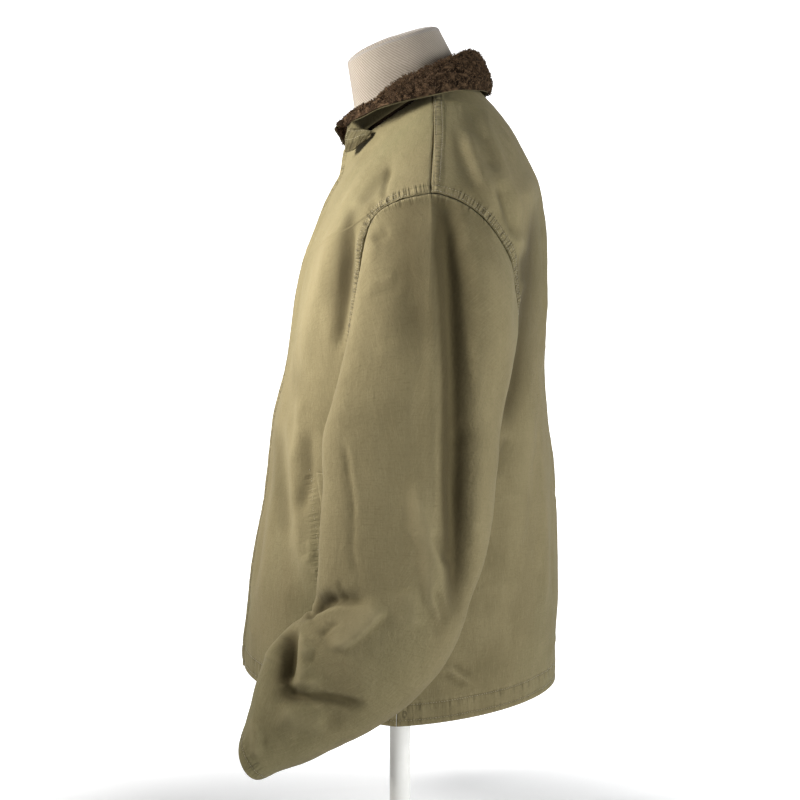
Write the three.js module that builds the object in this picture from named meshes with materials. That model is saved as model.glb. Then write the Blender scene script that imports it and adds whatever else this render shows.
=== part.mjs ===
// A hip-length deck jacket on a counter-top dress form.
// Millimetres, +Z up. The wearer faces -Y and the wearer's left is +X.
// The origin is the middle of the base plate's underside.
import * as THREE from "three";
import { mergeVertices } from "three/addons/utils/BufferGeometryUtils.js";

// ---------------------------------------------------------------- named sizes
const SHELL = 2.4; // cotton shell with its backing, one wall
const SEAM_GAP = 0.3; // between pieces at a seam
const FLAP_LIFT = 0.5; // between the fronts and what lies on them
const FLAP_WALL = 2.2;
const FLAP_RIGHT = -36; // the wind flap's free edge, on the wearer's right
const FLAP_LEFT = 26; // its sewn edge
const BUTTON_X = -19;
const BUTTON_R = 7.6;
const BUTTON_THICK = 3.2;
const PILE = 7.5; // depth of the collar's pile
const COLLAR_CLOTH = 1.5;
const COLLAR_GAP = 0.5; // between the pile and the cloth under it
const COLLAR_FOLD_R = 3.2;
const WELT_LIFT = 0.8;
const WELT_WALL = 1.5;
const WELT_WIDTH = 21;
const PLATE_R = 195;
const PLATE_THICK = 6;
const POLE_R = 12.5;
const SQUARE = 2.2; // how boxy a section is: 2 is an ellipse
const RIGHT = Math.PI / 2;

// ---------------------------------------------------------------- short tables
// Rings of the jacket's body, from hem (s 0) to neck seam (s 1): the height and place of the ring at the centre front,
// at the side and at the centre back, and how fast its height changes between them (slope).
const BODY = table(
  ["s", "zFront", "yFront", "zSide", "xSide", "ySide", "zBack", "yBack", "slope", "square"],
  [
    [0.0, 259, -186.5, 228, 195, -4, 243, 186.0, 1.2, 2.0],
    [0.08, 298, -183.0, 275, 197, -3, 284, 186.0, 1.2, 2.05],
    [0.2, 350, -178.0, 340, 199, 0, 344, 186.5, 1.3, 2.1],
    [0.33, 420, -168.0, 415, 201, 4, 415, 185.0, 1.4, 2.15],
    [0.46, 485, -156.0, 485, 204, 8, 485, 181.5, 1.6, 2.2],
    [0.58, 550, -149.0, 545, 207, 12, 550, 176.0, 1.6, 2.2],
    [0.66, 606, -135.0, 630, 222, 18, 622, 170.5, 1.6, 2.2],
    [0.74, 662, -126.0, 715, 243, 24, 696, 173.0, 1.6, 2.2],
    [0.8, 706, -119.0, 772, 249, 29, 757, 172.5, 1.5, 2.2],
    [0.85, 742, -111.0, 812, 240, 31.6, 805, 167.0, 1.4, 2.2],
    [0.9, 779, -98.5, 852, 195, 35, 850, 154.0, 1.2, 2.2],
    [0.95, 820, -80.0, 890, 147, 37.5, 893, 132.0, 1.05, 2.2],
    [0.975, 844, -68.5, 912, 116, 37.5, 919, 112.0, 1.0, 2.2],
    [1.0, 870, -65.5, 934, 84, 37, 944, 88.0, 0.95, 2.2],
  ],
);
// The armhole, squarer in front above its widest place than behind.
const ARMHOLE = { bottom: 0.58, top: 0.85, front: 70, back: 106, frontTop: 4.2, backTop: 1.75, low: 2.2 };
const SKEW = 2.4; // how far the right front hangs behind the left beside the centre line

// Rings of the left sleeve below the armhole. half is half its width seen from the side, deep half its width across,
// pitch turns the ring so that its front end rises, and lead is how much further along the sleeve the outer face is.
const SLEEVE = table(
  ["t", "x", "y", "z", "half", "deep", "pitch", "lead"],
  [
    [0.0, 262, 19.5, 588, 90.5, 50, 0, -50],
    [0.09, 264, 11.0, 551, 92.5, 50, 0, -35],
    [0.21, 266, 8.0, 496, 89.5, 49, 1.8, -18],
    [0.33, 267, 2.0, 435, 87.5, 49, 3.6, -8],
    [0.43, 266, -6.5, 387, 82.0, 51, 4.5, -3],
    [0.52, 265, -19.0, 348.5, 77.5, 53, 17, 0],
    [0.61, 263, -43.0, 320, 74.5, 55, 35, 0],
    [0.7, 260, -73.5, 296, 71.0, 56, 45, 2],
    [0.79, 256, -101.0, 273.5, 62.5, 58, 50, 4],
    [0.88, 251, -123.0, 251.5, 50.5, 60, 55, 6],
    [0.95, 247, -140.0, 231.0, 36.0, 61, 57, 9],
    [1.0, 245, -151.5, 216.5, 26.0, 62, 58, 13],
  ],
);

// The largest folds. Each is a soft trough (depth below 0) or ridge that runs from one place to another on the left
// side, seen from that side: y, z and half-width in millimetres. The right sleeve has its own.
const SLEEVE_FOLDS_LEFT = table(
  ["y0", "z0", "y1", "z1", "wide", "depth"],
  [
    [48, 768, 64, 560, 17, -8], // long trough below the shoulder
    [64, 560, 58, 380, 14, -11], // and on down to the elbow
    [84, 640, 82, 450, 20, 5], // the roll behind it
    [20, 500, 44, 380, 12, 5], // slanting ridge towards the elbow
    [-84, 352, -40, 352, 9, -10], // the crook of the elbow
    [-60, 330, -28, 354, 10, 8], // the lap of cloth over it
    [-104, 336, -116, 286, 12, -12], // down trough on the forearm
    [-104, 268, -48, 262, 11, -9], // its foot, running back
  ],
);
const SLEEVE_FOLDS_RIGHT = table(
  ["y0", "z0", "y1", "z1", "wide", "depth"],
  [
    [40, 760, 58, 590, 18, -8],
    [58, 590, 66, 400, 15, -10],
    [88, 620, 80, 470, 19, 5],
    [10, 520, 36, 400, 13, 5],
    [-86, 358, -36, 344, 10, -10],
    [-66, 322, -30, 346, 10, 7],
    [-98, 330, -118, 280, 13, -11],
    [-96, 262, -52, 268, 11, -8],
  ],
);
// Folds of the body, with mirrored ones on the right a little different.
const BODY_FOLDS = table(
  ["y0", "z0", "y1", "z1", "wide", "depth", "rightScale"],
  [
    [-44, 792, -72, 690, 14, -6, 0.8], // hollow in front of the armhole
    [-88, 760, -108, 610, 18, 3.5, 1.1], // the drape beside it
    [-118, 590, -112, 450, 15, 4, 0.9], // long ridge down the front
    [-112, 450, -84, 360, 15, 3.5, 0.9],
    [133, 812, 118, 730, 10, 5, 0.9], // roll behind the armhole
    [146, 800, 138, 700, 13, -5, 1.0], // hollow behind the roll
    [128, 640, 118, 560, 16, -6, 0.8],
  ],
);

// The collar from its right front end (q -1) over the centre back (0) to its left one: where round the neck seam it is
// sewn, its fold and its leaf's edge. The left end of the leaf is lifted.
const COLLAR = table(
  ["q", "round", "xFold", "yFold", "zFold", "xEdge", "yEdge", "zEdge"],
  [
    [-1.0, -6, -14, -75, 899, -27, -65, 879],
    [-0.92, -20, -32, -66, 906, -54, -62, 882],
    [-0.8, -38, -53, -42, 915, -84, -44, 893],
    [-0.64, -62, -69, -12, 933, -105, -13, 912],
    [-0.46, -92, -73, 26, 953, -110, 30, 922],
    [-0.3, -122, -61, 58, 968, -86, 69.5, 933.5],
    [-0.15, -150, -35, 79, 978, -48, 97, 936],
    [0.0, -180, 0, 86.5, 981, 0, 104.5, 937],
    [0.15, -210, 35, 79, 978, 48, 97, 936],
    [0.3, -238, 61, 58, 968, 86, 69.5, 933.5],
    [0.46, -268, 73, 26, 953, 111, 30, 924],
    [0.6, -290, 71, -6, 938, 109, 0, 918],
    [0.74, -311, 64, -27, 918, 101, -24, 912],
    [0.86, -329, 53, -42, 911, 89, -42, 904],
    [0.94, -341, 42, -53, 907, 76, -55, 899],
    [1.0, -350, 31, -60, 903, 63, -62, 893],
  ],
);

// The buttons of the wind flap: their height and how far each stands off the flap. The second hangs on a longer shank.
const BUTTONS = table(
  ["z", "lift"],
  [
    [846, 2.2],
    [751, 3.0],
    [647, 0.7],
    [543, 0.7],
    [439, 0.7],
    [335, 0.7],
  ],
);

// The dress form's rings, laid out as the body's. It ends in a flat floor inside the jacket.
const FORM = table(
  ["s", "zFront", "yFront", "zSide", "xSide", "ySide", "zBack", "yBack", "slope", "square"],
  [
    [0.0, 305, -104, 305, 148, 0, 305, 106, 1.6, 2.2],
    [0.12, 370, -108, 370, 150, 0, 370, 102, 1.6, 2.2],
    [0.26, 460, -104, 460, 146, 2, 460, 104, 1.6, 2.2],
    [0.4, 560, -110, 560, 162, 8, 560, 124, 1.6, 2.2],
    [0.52, 650, -112, 655, 182, 14, 655, 142, 1.6, 2.2],
    [0.62, 710, -104, 735, 196, 22, 730, 150, 1.5, 2.2],
    [0.7, 752, -92, 792, 198, 27, 790, 148, 1.4, 2.2],
    [0.76, 786, -80, 832, 178, 31, 833, 137, 1.2, 2.2],
    [0.82, 822, -66, 872, 134, 33, 874, 118, 1.1, 2.2],
    [0.87, 858, -53, 908, 86, 33, 914, 90, 1.0, 2.2],
    [0.91, 886, -50, 930, 64, 28, 940, 77, 1.0, 2.2],
    [0.95, 924, -54.5, 956, 57, 14, 966, 69, 1.0, 2.2],
    [1.0, 973, -62, 993, 54, -8, 1012, 46, 1.0, 2.2],
  ],
);

// ---------------------------------------------------------------- tools
function table(names, rows) {
  return rows.map((r) => Object.fromEntries(names.map((n, i) => [n, r[i]])));
}
// A column of a table at a value of its first column, on a smooth curve that doesn't overshoot.
function column(rows, key, name, at) {
  const k = rows.length;
  let i = 0;
  while (i < k - 2 && at > rows[i + 1][key]) i++;
  const x = (j) => rows[j][key];
  const y = (j) => rows[j][name];
  const slope = (j) => (y(j + 1) - y(j)) / (x(j + 1) - x(j));
  const tangent = (j) => {
    if (j === 0) return slope(0);
    if (j === k - 1) return slope(k - 2);
    const a = slope(j - 1);
    const b = slope(j);
    if (a * b <= 0) return 0;
    const p = x(j) - x(j - 1);
    const q = x(j + 1) - x(j);
    return (3 * (p + q)) / ((2 * q + p) / a + (q + 2 * p) / b);
  };
  const h = x(i + 1) - x(i);
  const t = (at - x(i)) / h;
  const t2 = t * t;
  const t3 = t2 * t;
  return (
    y(i) * (2 * t3 - 3 * t2 + 1) +
    tangent(i) * h * (t3 - 2 * t2 + t) +
    y(i + 1) * (3 * t2 - 2 * t3) +
    tangent(i + 1) * h * (t3 - t2)
  );
}
const power = (v, p) => Math.sign(v) * Math.pow(Math.abs(v), p);
const vec = (x, y, z) => new THREE.Vector3(x, y, z);
const ease = (t) => t * t * (3 - 2 * t);
const clamp = (t) => Math.min(1, Math.max(0, t));

// A point of a ring table: phi 0 is the centre front, +90 degrees the wearer's left, 180 the centre back.
function ringPoint(rows, s, phi) {
  const get = (name) => column(rows, "s", name, s);
  const c = Math.cos(phi);
  const end = c >= 0 ? "Front" : "Back";
  const reach = Math.abs(get("y" + end) - get("ySide"));
  const share = Math.pow(Math.abs(c), get("slope"));
  const square = get("square");
  return vec(
    get("xSide") * power(Math.sin(phi), 2 / square),
    get("ySide") - reach * power(c, 2 / square),
    get("zSide") + (get("z" + end) - get("zSide")) * share,
  );
}
// The phi at which a ring is a distance dy in front of (dy < 0) or behind its side point.
function phiAt(s, dy) {
  const get = (name) => column(BODY, "s", name, s);
  const reach = Math.abs(get(dy < 0 ? "yFront" : "yBack") - get("ySide"));
  const c = Math.pow(Math.min(1, Math.abs(dy) / reach), get("square") / 2);
  return Math.acos(dy < 0 ? c : -c);
}
// How far a table of folds moves a point that lies at y, z seen from the side.
function foldDepth(folds, p, scaleName) {
  let sum = 0;
  for (const f of folds) {
    const dy = f.y1 - f.y0;
    const dz = f.z1 - f.z0;
    const long = Math.hypot(dy, dz);
    const along = ((p.y - f.y0) * dy + (p.z - f.z0) * dz) / (long * long);
    const off = Math.hypot(
      p.y - f.y0 - dy * clamp(along),
      p.z - f.z0 - dz * clamp(along),
    );
    const fade = ease(clamp((along + 0.25) / 0.45)) * ease(clamp((1.25 - along) / 0.45));
    sum += f.depth * Math.exp(-((off / f.wide) ** 2)) * fade * (scaleName ? f[scaleName] : 1);
  }
  return sum;
}
function numericNormal(at, u, v, du, dv) {
  const a = at(u + du, v).sub(at(u - du, v));
  const b = at(u, v + dv).sub(at(u, v - dv));
  return a.cross(b).normalize();
}

// ---------------------------------------------------------------- the jacket's surfaces
// The body, folds included. The normal points outwards.
function bodyBase(s, phi) {
  const p = ringPoint(BODY, s, phi);
  const ahead = Math.max(0, Math.cos(phi));
  p.y += SKEW * (1 - Math.tanh(p.x / 14)) * ahead ** 3;
  return p;
}
function bodyNormal(s, phi) {
  return numericNormal((a, b) => bodyBase(a, b), s, phi, 0.004, 0.02).negate();
}
function bodyPoint(s, phi, out = 0) {
  const p = bodyBase(s, phi);
  const n = bodyNormal(s, phi);
  const side = Math.pow(Math.abs(Math.sin(phi)), 2);
  const deep = foldDepth(BODY_FOLDS, p, phi < 0 ? "rightScale" : null) * side;
  return p.addScaledVector(n, deep + out);
}
// The armhole's edge: psi 0 is the shoulder point, 90 degrees its back, 180 the armpit. inset moves it inwards.
function armhole(psi, inset = 0) {
  const up = Math.cos(psi);
  const back = Math.sin(psi);
  const square = up < 0 ? ARMHOLE.low : back < 0 ? ARMHOLE.frontTop : ARMHOLE.backTop;
  const reach = (back < 0 ? ARMHOLE.front : ARMHOLE.back) - inset;
  const middle = (ARMHOLE.top + ARMHOLE.bottom) / 2;
  const half = ((ARMHOLE.top - ARMHOLE.bottom) / 2) * (1 - inset / 128);
  return { s: middle + half * power(up, 2 / square), dy: reach * power(back, 2 / square) };
}
function armholePoint(psi, inset, out) {
  const hole = armhole(psi, inset);
  return bodyPoint(hole.s, phiAt(hole.s, hole.dy), out);
}
function sleeveRing(t, psi) {
  const get = (name) => column(SLEEVE, "t", name, t);
  const tilt = THREE.MathUtils.degToRad(get("pitch"));
  const across = power(Math.sin(psi), 2 / SQUARE) * get("half");
  const out = power(Math.cos(psi), 2 / SQUARE);
  const lead = get("lead") * out;
  return vec(
    get("x") + out * get("deep"),
    get("y") + across * Math.cos(tilt) - lead * Math.sin(tilt),
    get("z") - across * Math.sin(tilt) - lead * Math.cos(tilt),
  );
}
// The sleeve from the armhole (u 0) over the cap (to CAP) and down to the cuff (u 1).
const CAP = 0.24;
function sleeveBase(u, psi) {
  if (u >= CAP) return sleeveRing((u - CAP) / (1 - CAP), psi);
  const h = u / CAP;
  const p0 = armholePoint(psi, SEAM_GAP + 0.35, 0);
  const p1 = sleeveRing(0, psi);
  const step = 0.004;
  const t1 = sleeveRing(step, psi).sub(p1).normalize();
  const top = 0.5 + 0.5 * Math.cos(psi);
  const t0 = vec(1 - 0.18 * top, 0.05 * Math.sin(psi), -0.1 - 0.6 * top).normalize();
  const long = p0.distanceTo(p1);
  const h2 = h * h;
  const h3 = h2 * h;
  return p0
    .clone()
    .multiplyScalar(2 * h3 - 3 * h2 + 1)
    .addScaledVector(t0, long * 1.05 * (h3 - 2 * h2 + h))
    .addScaledVector(p1, 3 * h2 - 2 * h3)
    .addScaledVector(t1, long * 1.05 * (h3 - h2));
}
function sleevePoint(u, psi, side, out = 0) {
  const p = sleeveBase(u, psi);
  const du = 0.006;
  const lo = Math.max(0.001, u - du);
  const hi = Math.min(0.999, u + du);
  const a = sleeveBase(hi, psi).sub(sleeveBase(lo, psi));
  const b = sleeveBase(Math.min(Math.max(u, 0.001), 0.999), psi + 0.03).sub(
    sleeveBase(Math.min(Math.max(u, 0.001), 0.999), psi - 0.03),
  );
  const n = a.cross(b).normalize();
  const outer = clamp(0.5 + 0.9 * Math.cos(psi));
  const edge = ease(clamp(u / 0.05)) * ease(clamp((1 - u) / 0.04));
  const folds = side > 0 ? SLEEVE_FOLDS_LEFT : SLEEVE_FOLDS_RIGHT;
  const deep = foldDepth(folds, p, null) * outer * edge;
  p.addScaledVector(n, deep + out);
  p.x *= side;
  return p;
}

// ---------------------------------------------------------------- solids from grids
// A wall between an outer and an inner grid of points, rows by columns, closed at its edges, or round on itself.
function wall(outer, inner, round = false) {
  const rows = outer.length;
  const cols = outer[0].length;
  const pos = [];
  const index = [];
  for (const grid of [outer, inner])
    for (const row of grid) for (const p of row) pos.push(p.x, p.y, p.z);
  const id = (k, i, j) => k * rows * cols + i * cols + (round ? j % cols : j);
  const quad = (a, b, c, d) => index.push(a, b, c, a, c, d);
  const last = round ? cols : cols - 1;
  for (let i = 0; i < rows - 1; i++)
    for (let j = 0; j < last; j++) {
      quad(id(0, i, j), id(0, i, j + 1), id(0, i + 1, j + 1), id(0, i + 1, j));
      quad(id(1, i, j), id(1, i + 1, j), id(1, i + 1, j + 1), id(1, i, j + 1));
    }
  for (let j = 0; j < last; j++) {
    quad(id(0, 0, j), id(1, 0, j), id(1, 0, j + 1), id(0, 0, j + 1));
    quad(id(0, rows - 1, j + 1), id(1, rows - 1, j + 1), id(1, rows - 1, j), id(0, rows - 1, j));
  }
  if (!round)
    for (let i = 0; i < rows - 1; i++) {
      quad(id(0, i, 0), id(0, i + 1, 0), id(1, i + 1, 0), id(1, i, 0));
      quad(id(0, i + 1, cols - 1), id(0, i, cols - 1), id(1, i, cols - 1), id(1, i + 1, cols - 1));
    }
  return facingOut(pos, index);
}
function facingOut(pos, index) {
  let volume = 0;
  const at = (i) => vec(pos[3 * i], pos[3 * i + 1], pos[3 * i + 2]);
  for (let i = 0; i < index.length; i += 3)
    volume += at(index[i]).dot(at(index[i + 1]).cross(at(index[i + 2])));
  if (volume < 0)
    for (let i = 0; i < index.length; i += 3)
      [index[i + 1], index[i + 2]] = [index[i + 2], index[i + 1]];
  const g = new THREE.BufferGeometry();
  g.setAttribute("position", new THREE.Float32BufferAttribute(pos, 3));
  g.setIndex(index);
  return g;
}
// A solid skin of rings, closed by a fan at each end.
function closedRings(rings, bottom, top) {
  const cols = rings[0].length;
  const pos = [];
  const index = [];
  for (const row of rings) for (const p of row) pos.push(p.x, p.y, p.z);
  pos.push(bottom.x, bottom.y, bottom.z, top.x, top.y, top.z);
  const low = rings.length * cols;
  for (let j = 0; j < cols; j++) {
    const k = (j + 1) % cols;
    for (let i = 0; i < rings.length - 1; i++) {
      const a = i * cols;
      index.push(a + j, a + k, a + cols + k, a + j, a + cols + k, a + cols + j);
    }
    index.push(low, k, j);
    const a = (rings.length - 1) * cols;
    index.push(low + 1, a + j, a + k);
  }
  return facingOut(pos, index);
}
const grid = (us, vs, f) => us.map((u) => vs.map((v) => f(u, v)));
const spread = (a, b, n) => Array.from({ length: n + 1 }, (_, i) => a + ((b - a) * i) / n);
const bent = (a, b, n) =>
  Array.from({ length: n + 1 }, (_, i) => (a + b) / 2 - ((b - a) / 2) * Math.cos((Math.PI * i) / n));

const group = new THREE.Group();
const COLOURS = {
  shell: [0x8b8264, 0.92, 0],
  pile: [0x5b4630, 1.0, 0],
  form: [0xd8cdb9, 0.85, 0],
  paint: [0xdcd9d2, 0.45, 0.1],
  button: [0x8a7650, 0.5, 0],
};
function add(name, geometry, look) {
  const [color, roughness, metalness] = COLOURS[look];
  const mesh = new THREE.Mesh(
    geometry,
    new THREE.MeshStandardMaterial({ color, roughness, metalness, side: THREE.FrontSide }),
  );
  mesh.name = name;
  group.add(mesh);
  return mesh;
}

// ---------------------------------------------------------------- fronts and back
// Each row of a body piece: its s and how far from the side line its edge lies. At the armhole the rows meet the
// corners of the sleeve's first ring.
const AROUND = 24;
function bodyRows(back) {
  const rows = [];
  for (const s of [...spread(0, 0.05, 1), ...spread(0.05, ARMHOLE.bottom, 6).slice(1, -1)]) rows.push([s, 0]);
  for (let k = AROUND / 2; k >= 0; k--) {
    const hole = armhole(((back ? 1 : -1) * k * 2 * Math.PI) / AROUND);
    rows.push([hole.s, k === 0 || k === AROUND / 2 ? 0 : hole.dy]);
  }
  for (const s of [0.895, 0.945, 0.975, 1]) rows.push([s, 0]);
  return rows;
}
// The first columns of a front lie at fixed places across, where the wind flap has its corners.
function panel(side, back, fixed, columns) {
  return [0, -SHELL].map((out) =>
    bodyRows(back).map(([s, dy]) => {
      const slack = (SEAM_GAP / 2 + 0.05) / column(BODY, "s", "xSide", s);
      const start = back ? Math.PI : phiAcross(s, fixed[fixed.length - 1]);
      const edge = phiAt(s, back ? Math.max(dy, 1e-9) : Math.min(dy, -1e-9)) + (back ? slack : -slack);
      return [
        ...fixed.slice(0, -1).map((x) => bodyPoint(s, side * phiAcross(s, x), out)),
        ...spread(0, 1, columns).map((a) => bodyPoint(s, side * (start + (edge - start) * a), out)),
      ];
    }),
  );
}
// The phi on the body at a distance x across the front.
function phiAcross(s, x) {
  const w = column(BODY, "s", "xSide", s);
  const square = column(BODY, "s", "square", s);
  return Math.sign(x) * Math.asin(Math.pow(Math.min(1, Math.abs(x) / w), square / 2));
}
const HALF_GAP = SEAM_GAP / 2 + 0.1;
{
  const [outer, inner] = panel(1, false, [HALF_GAP, FLAP_LEFT], 7);
  add("front_left", wall(outer, inner), "shell");
}
{
  const [outer, inner] = panel(-1, false, [HALF_GAP, -BUTTON_X, -FLAP_RIGHT], 7);
  add("front_right", wall(outer, inner), "shell");
}
{
  const [ol, il] = panel(1, true, [0], 8);
  const [or, ir] = panel(-1, true, [0], 8);
  const join = (l, r) => l.map((row, i) => [...row.slice().reverse(), ...r[i].slice(1)]);
  add("back", wall(join(ol, or), join(il, ir)), "shell");
}

// ---------------------------------------------------------------- sleeves
const SLEEVE_ROWS = [0.035, 0.08, 0.13, 0.185, CAP, ...spread(CAP, 1, 13).slice(1)];
for (const [name, side] of [
  ["sleeve_left", 1],
  ["sleeve_right", -1],
]) {
  const psis = spread(0, 2 * Math.PI, AROUND).slice(0, AROUND);
  const first = (out) =>
    psis.map((psi) => {
      const p = armholePoint(side > 0 ? psi : psi, SEAM_GAP + 0.35, out);
      p.x *= side;
      return p;
    });
  const at = (out) => [
    first(out),
    ...SLEEVE_ROWS.map((u) => psis.map((psi) => sleevePoint(u, psi, side, out))),
  ];
  add(name, wall(at(0), at(-SHELL), true), "shell");
}

// ---------------------------------------------------------------- wind flap and its buttons
{
  const rows = bodyRows(false).map(([s]) => s);
  const xs = [FLAP_LEFT, HALF_GAP, -HALF_GAP, BUTTON_X, FLAP_RIGHT];
  const at = (out) => rows.map((s) => xs.map((x) => bodyPoint(s, phiAcross(s, x), out)));
  add("wind_flap", wall(at(FLAP_LIFT + FLAP_WALL), at(FLAP_LIFT)), "shell");
}
function sAtFront(z) {
  let lo = 0;
  let hi = 1;
  for (let i = 0; i < 40; i++) {
    const mid = (lo + hi) / 2;
    if (column(BODY, "s", "zFront", mid) < z) lo = mid;
    else hi = mid;
  }
  return (lo + hi) / 2;
}
BUTTONS.forEach((b, i) => {
  const s = sAtFront(b.z);
  const phi = phiAcross(s, BUTTON_X);
  const n = bodyNormal(s, phi);
  const profile = [
    [0, 0],
    [BUTTON_R * 0.86, 0],
    [BUTTON_R, 0.9],
    [BUTTON_R, BUTTON_THICK - 0.7],
    [BUTTON_R * 0.88, BUTTON_THICK],
    [BUTTON_R * 0.66, BUTTON_THICK - 0.9],
    [0, BUTTON_THICK - 0.9],
  ].map(([r, h]) => new THREE.Vector2(r, h));
  const button = add(`button_${i + 1}`, new THREE.LatheGeometry(profile, 14), "button");
  button.position.copy(bodyPoint(s, phi, FLAP_LIFT + FLAP_WALL + b.lift));
  button.quaternion.setFromUnitVectors(vec(0, 1, 0), n);
});

// ---------------------------------------------------------------- pocket welts
// The slash leans back as it goes down. Its welt lies behind the opening.
const POCKET = { sTop: 0.505, sBottom: 0.215, yTop: -93, yBottom: -70 };
for (const [name, side] of [
  ["pocket_welt_left", 1],
  ["pocket_welt_right", -1],
]) {
  const rows = spread(0, 1, 6);
  const cols = spread(0, 1, 2);
  const at = (out) =>
    rows.map((a) =>
      cols.map((b) => {
        const s = POCKET.sTop + (POCKET.sBottom - POCKET.sTop) * a;
        const y = POCKET.yTop + (POCKET.yBottom - POCKET.yTop) * a + WELT_WIDTH * b;
        const phi = phiAt(s, y - column(BODY, "s", "ySide", s));
        return bodyPoint(s, side * phi, out);
      }),
    );
  add(name, wall(at(WELT_LIFT + WELT_WALL), at(WELT_LIFT)), "shell");
}

// ---------------------------------------------------------------- collar
// w runs from the neck seam (0) up the stand, over the fold and down the leaf to its edge (1).
const STAND_END = 0.3;
const FOLD_END = 0.52;
function collarPath(q, w) {
  const get = (name) => column(COLLAR, "q", name, q);
  const seam = bodyPoint(1, THREE.MathUtils.degToRad(get("round")), -0.4).add(vec(0, 0, 3));
  const heart = vec(get("xFold"), get("yFold"), get("zFold") - COLLAR_FOLD_R);
  const edge = vec(get("xEdge"), get("yEdge"), get("zEdge"));
  const out = vec(edge.x - heart.x, edge.y - heart.y, 0).normalize();
  const up = vec(0, 0, 1);
  const to = edge.clone().sub(heart);
  const turn = Math.atan2(to.dot(out), to.z) - 0.1; // how far round the fold the leaf leaves it
  const round = (t) =>
    heart
      .clone()
      .addScaledVector(out, -COLLAR_FOLD_R * Math.cos(t))
      .addScaledVector(up, COLLAR_FOLD_R * Math.sin(t));
  if (w <= STAND_END) return seam.lerp(round(0), w / STAND_END);
  if (w <= FOLD_END) return round(((w - STAND_END) / (FOLD_END - STAND_END)) * turn);
  const t = (w - FOLD_END) / (1 - FOLD_END);
  const away = out.multiplyScalar(Math.max(0, -Math.cos(turn))).addScaledVector(up, Math.sin(turn));
  return round(turn).lerp(edge, t).addScaledVector(away, 12 * t * (1 - t));
}
// Outwards here is away from the inside of the fold, on the pile's side.
function collarPoint(q, w, out) {
  const dq = 0.01;
  const dw = 0.012;
  const qa = Math.max(-1, q - dq);
  const qb = Math.min(1, q + dq);
  const wa = Math.max(0, w - dw);
  const wb = Math.min(1, w + dw);
  const a = collarPath(qb, w).sub(collarPath(qa, w));
  const b = collarPath(q, wb).sub(collarPath(q, wa));
  return collarPath(q, w).addScaledVector(a.cross(b).normalize(), out);
}
{
  const qs = spread(-1, 1, 24);
  const ws = [0, 0.15, STAND_END, 0.355, 0.41, 0.465, FOLD_END, 0.68, 0.84, 1];
  add("collar_pile", wall(grid(qs, ws, (q, w) => collarPoint(q, w, PILE)), grid(qs, ws, (q, w) => collarPoint(q, w, 0))), "pile");
  add(
    "collar_under",
    wall(
      grid(qs, ws, (q, w) => collarPoint(q, w, -COLLAR_GAP)),
      grid(qs, ws, (q, w) => collarPoint(q, w, -COLLAR_GAP - COLLAR_CLOTH)),
    ),
    "shell",
  );
}

// ---------------------------------------------------------------- throat tab
// A strap sewn in at the left end of the neck seam and folded back under the leaf.
{
  const TAB = table(
    ["a", "x", "y", "z", "drop"],
    [
      [0.0, 47, -59, 894, 30],
      [0.35, 57, -51, 892, 26],
      [0.7, 68, -41, 890, 16],
      [1.0, 76.5, -31, 888, 7],
    ],
  );
  const TAB_WALL = 3;
  const along = spread(0, 1, 6);
  const down = spread(0, 1, 3);
  const at = (out) =>
    grid(along, down, (a, d) => {
      const get = (name) => column(TAB, "a", name, a);
      const n = vec(0.62, -0.74, 0.26).normalize();
      return vec(get("x"), get("y"), get("z"))
        .add(vec(0.5, -0.1, -1).multiplyScalar(get("drop") * d))
        .addScaledVector(n, out + 1.5 * Math.sin(Math.PI * d));
    });
  add("throat_tab", wall(at(TAB_WALL), at(0)), "shell");
}

// ---------------------------------------------------------------- dress form and stand
{
  const N = 28;
  const phis = spread(0, 2 * Math.PI, N).slice(0, N);
  const heights = [0, 0.06, 0.12, 0.19, 0.26, 0.33, 0.4, 0.46, 0.52, 0.57, 0.62, 0.66, 0.7, 0.73, 0.76, 0.79, 0.82, 0.845, 0.87, 0.89, 0.91, 0.95, 0.985, 1];
  const rings = heights.map((s) => phis.map((phi) => ringPoint(FORM, s, phi)));
  const last = rings[rings.length - 1];
  const middle = vec(0, -8, 994);
  rings.push(last.map((p) => p.clone().lerp(middle, 0.07).add(vec(0, 0, 3.6))));
  rings.push(last.map((p) => p.clone().lerp(middle, 0.2).add(vec(0, 0, 6.2))));
  add("form_body", closedRings(rings, vec(0, 0, 305), middle.clone().add(vec(0, 0, 9))), "form");
}
{
  const top = 304.6;
  const profile = [
    [0, PLATE_THICK + 0.3],
    [30, PLATE_THICK + 0.3],
    [30, PLATE_THICK + 6],
    [17, PLATE_THICK + 12],
    [POLE_R, PLATE_THICK + 30],
    [POLE_R, top - 14],
    [34, top - 8],
    [34, top],
    [0, top],
  ].map(([r, z]) => new THREE.Vector2(r, z));
  const pole = add("stand_pole", new THREE.LatheGeometry(profile, 24), "paint");
  pole.rotation.x = RIGHT;
}
{
  const profile = [
    [0, 0],
    [PLATE_R - 2, 0],
    [PLATE_R, 2],
    [PLATE_R, PLATE_THICK - 3],
    [PLATE_R - 3, PLATE_THICK],
    [0, PLATE_THICK],
  ].map(([r, z]) => new THREE.Vector2(r, z));
  const plate = add("stand_base", new THREE.LatheGeometry(profile, 48), "paint");
  plate.rotation.x = RIGHT;
}

// Meshes share their corners, so that each is one closed skin.
group.traverse((o) => {
  if (!o.isMesh) return;
  o.geometry.deleteAttribute("normal");
  o.geometry.deleteAttribute("uv");
  o.geometry = mergeVertices(o.geometry, 1e-3);
});

export default group;
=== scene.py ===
"""A hip-length deck jacket on a counter-top dress form: its looks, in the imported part's frame.

Shapes are worked out in millimetres, +Z up, the wearer facing -Y and the wearer's left at +X, and written in metres.
Every cloth piece is a thin shell with rounded edges on the form of its solid. Its creases are rows of short tables,
given as they show from the side on the middle plane (x = 0), ahead being -Y.
"""

import math

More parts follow.
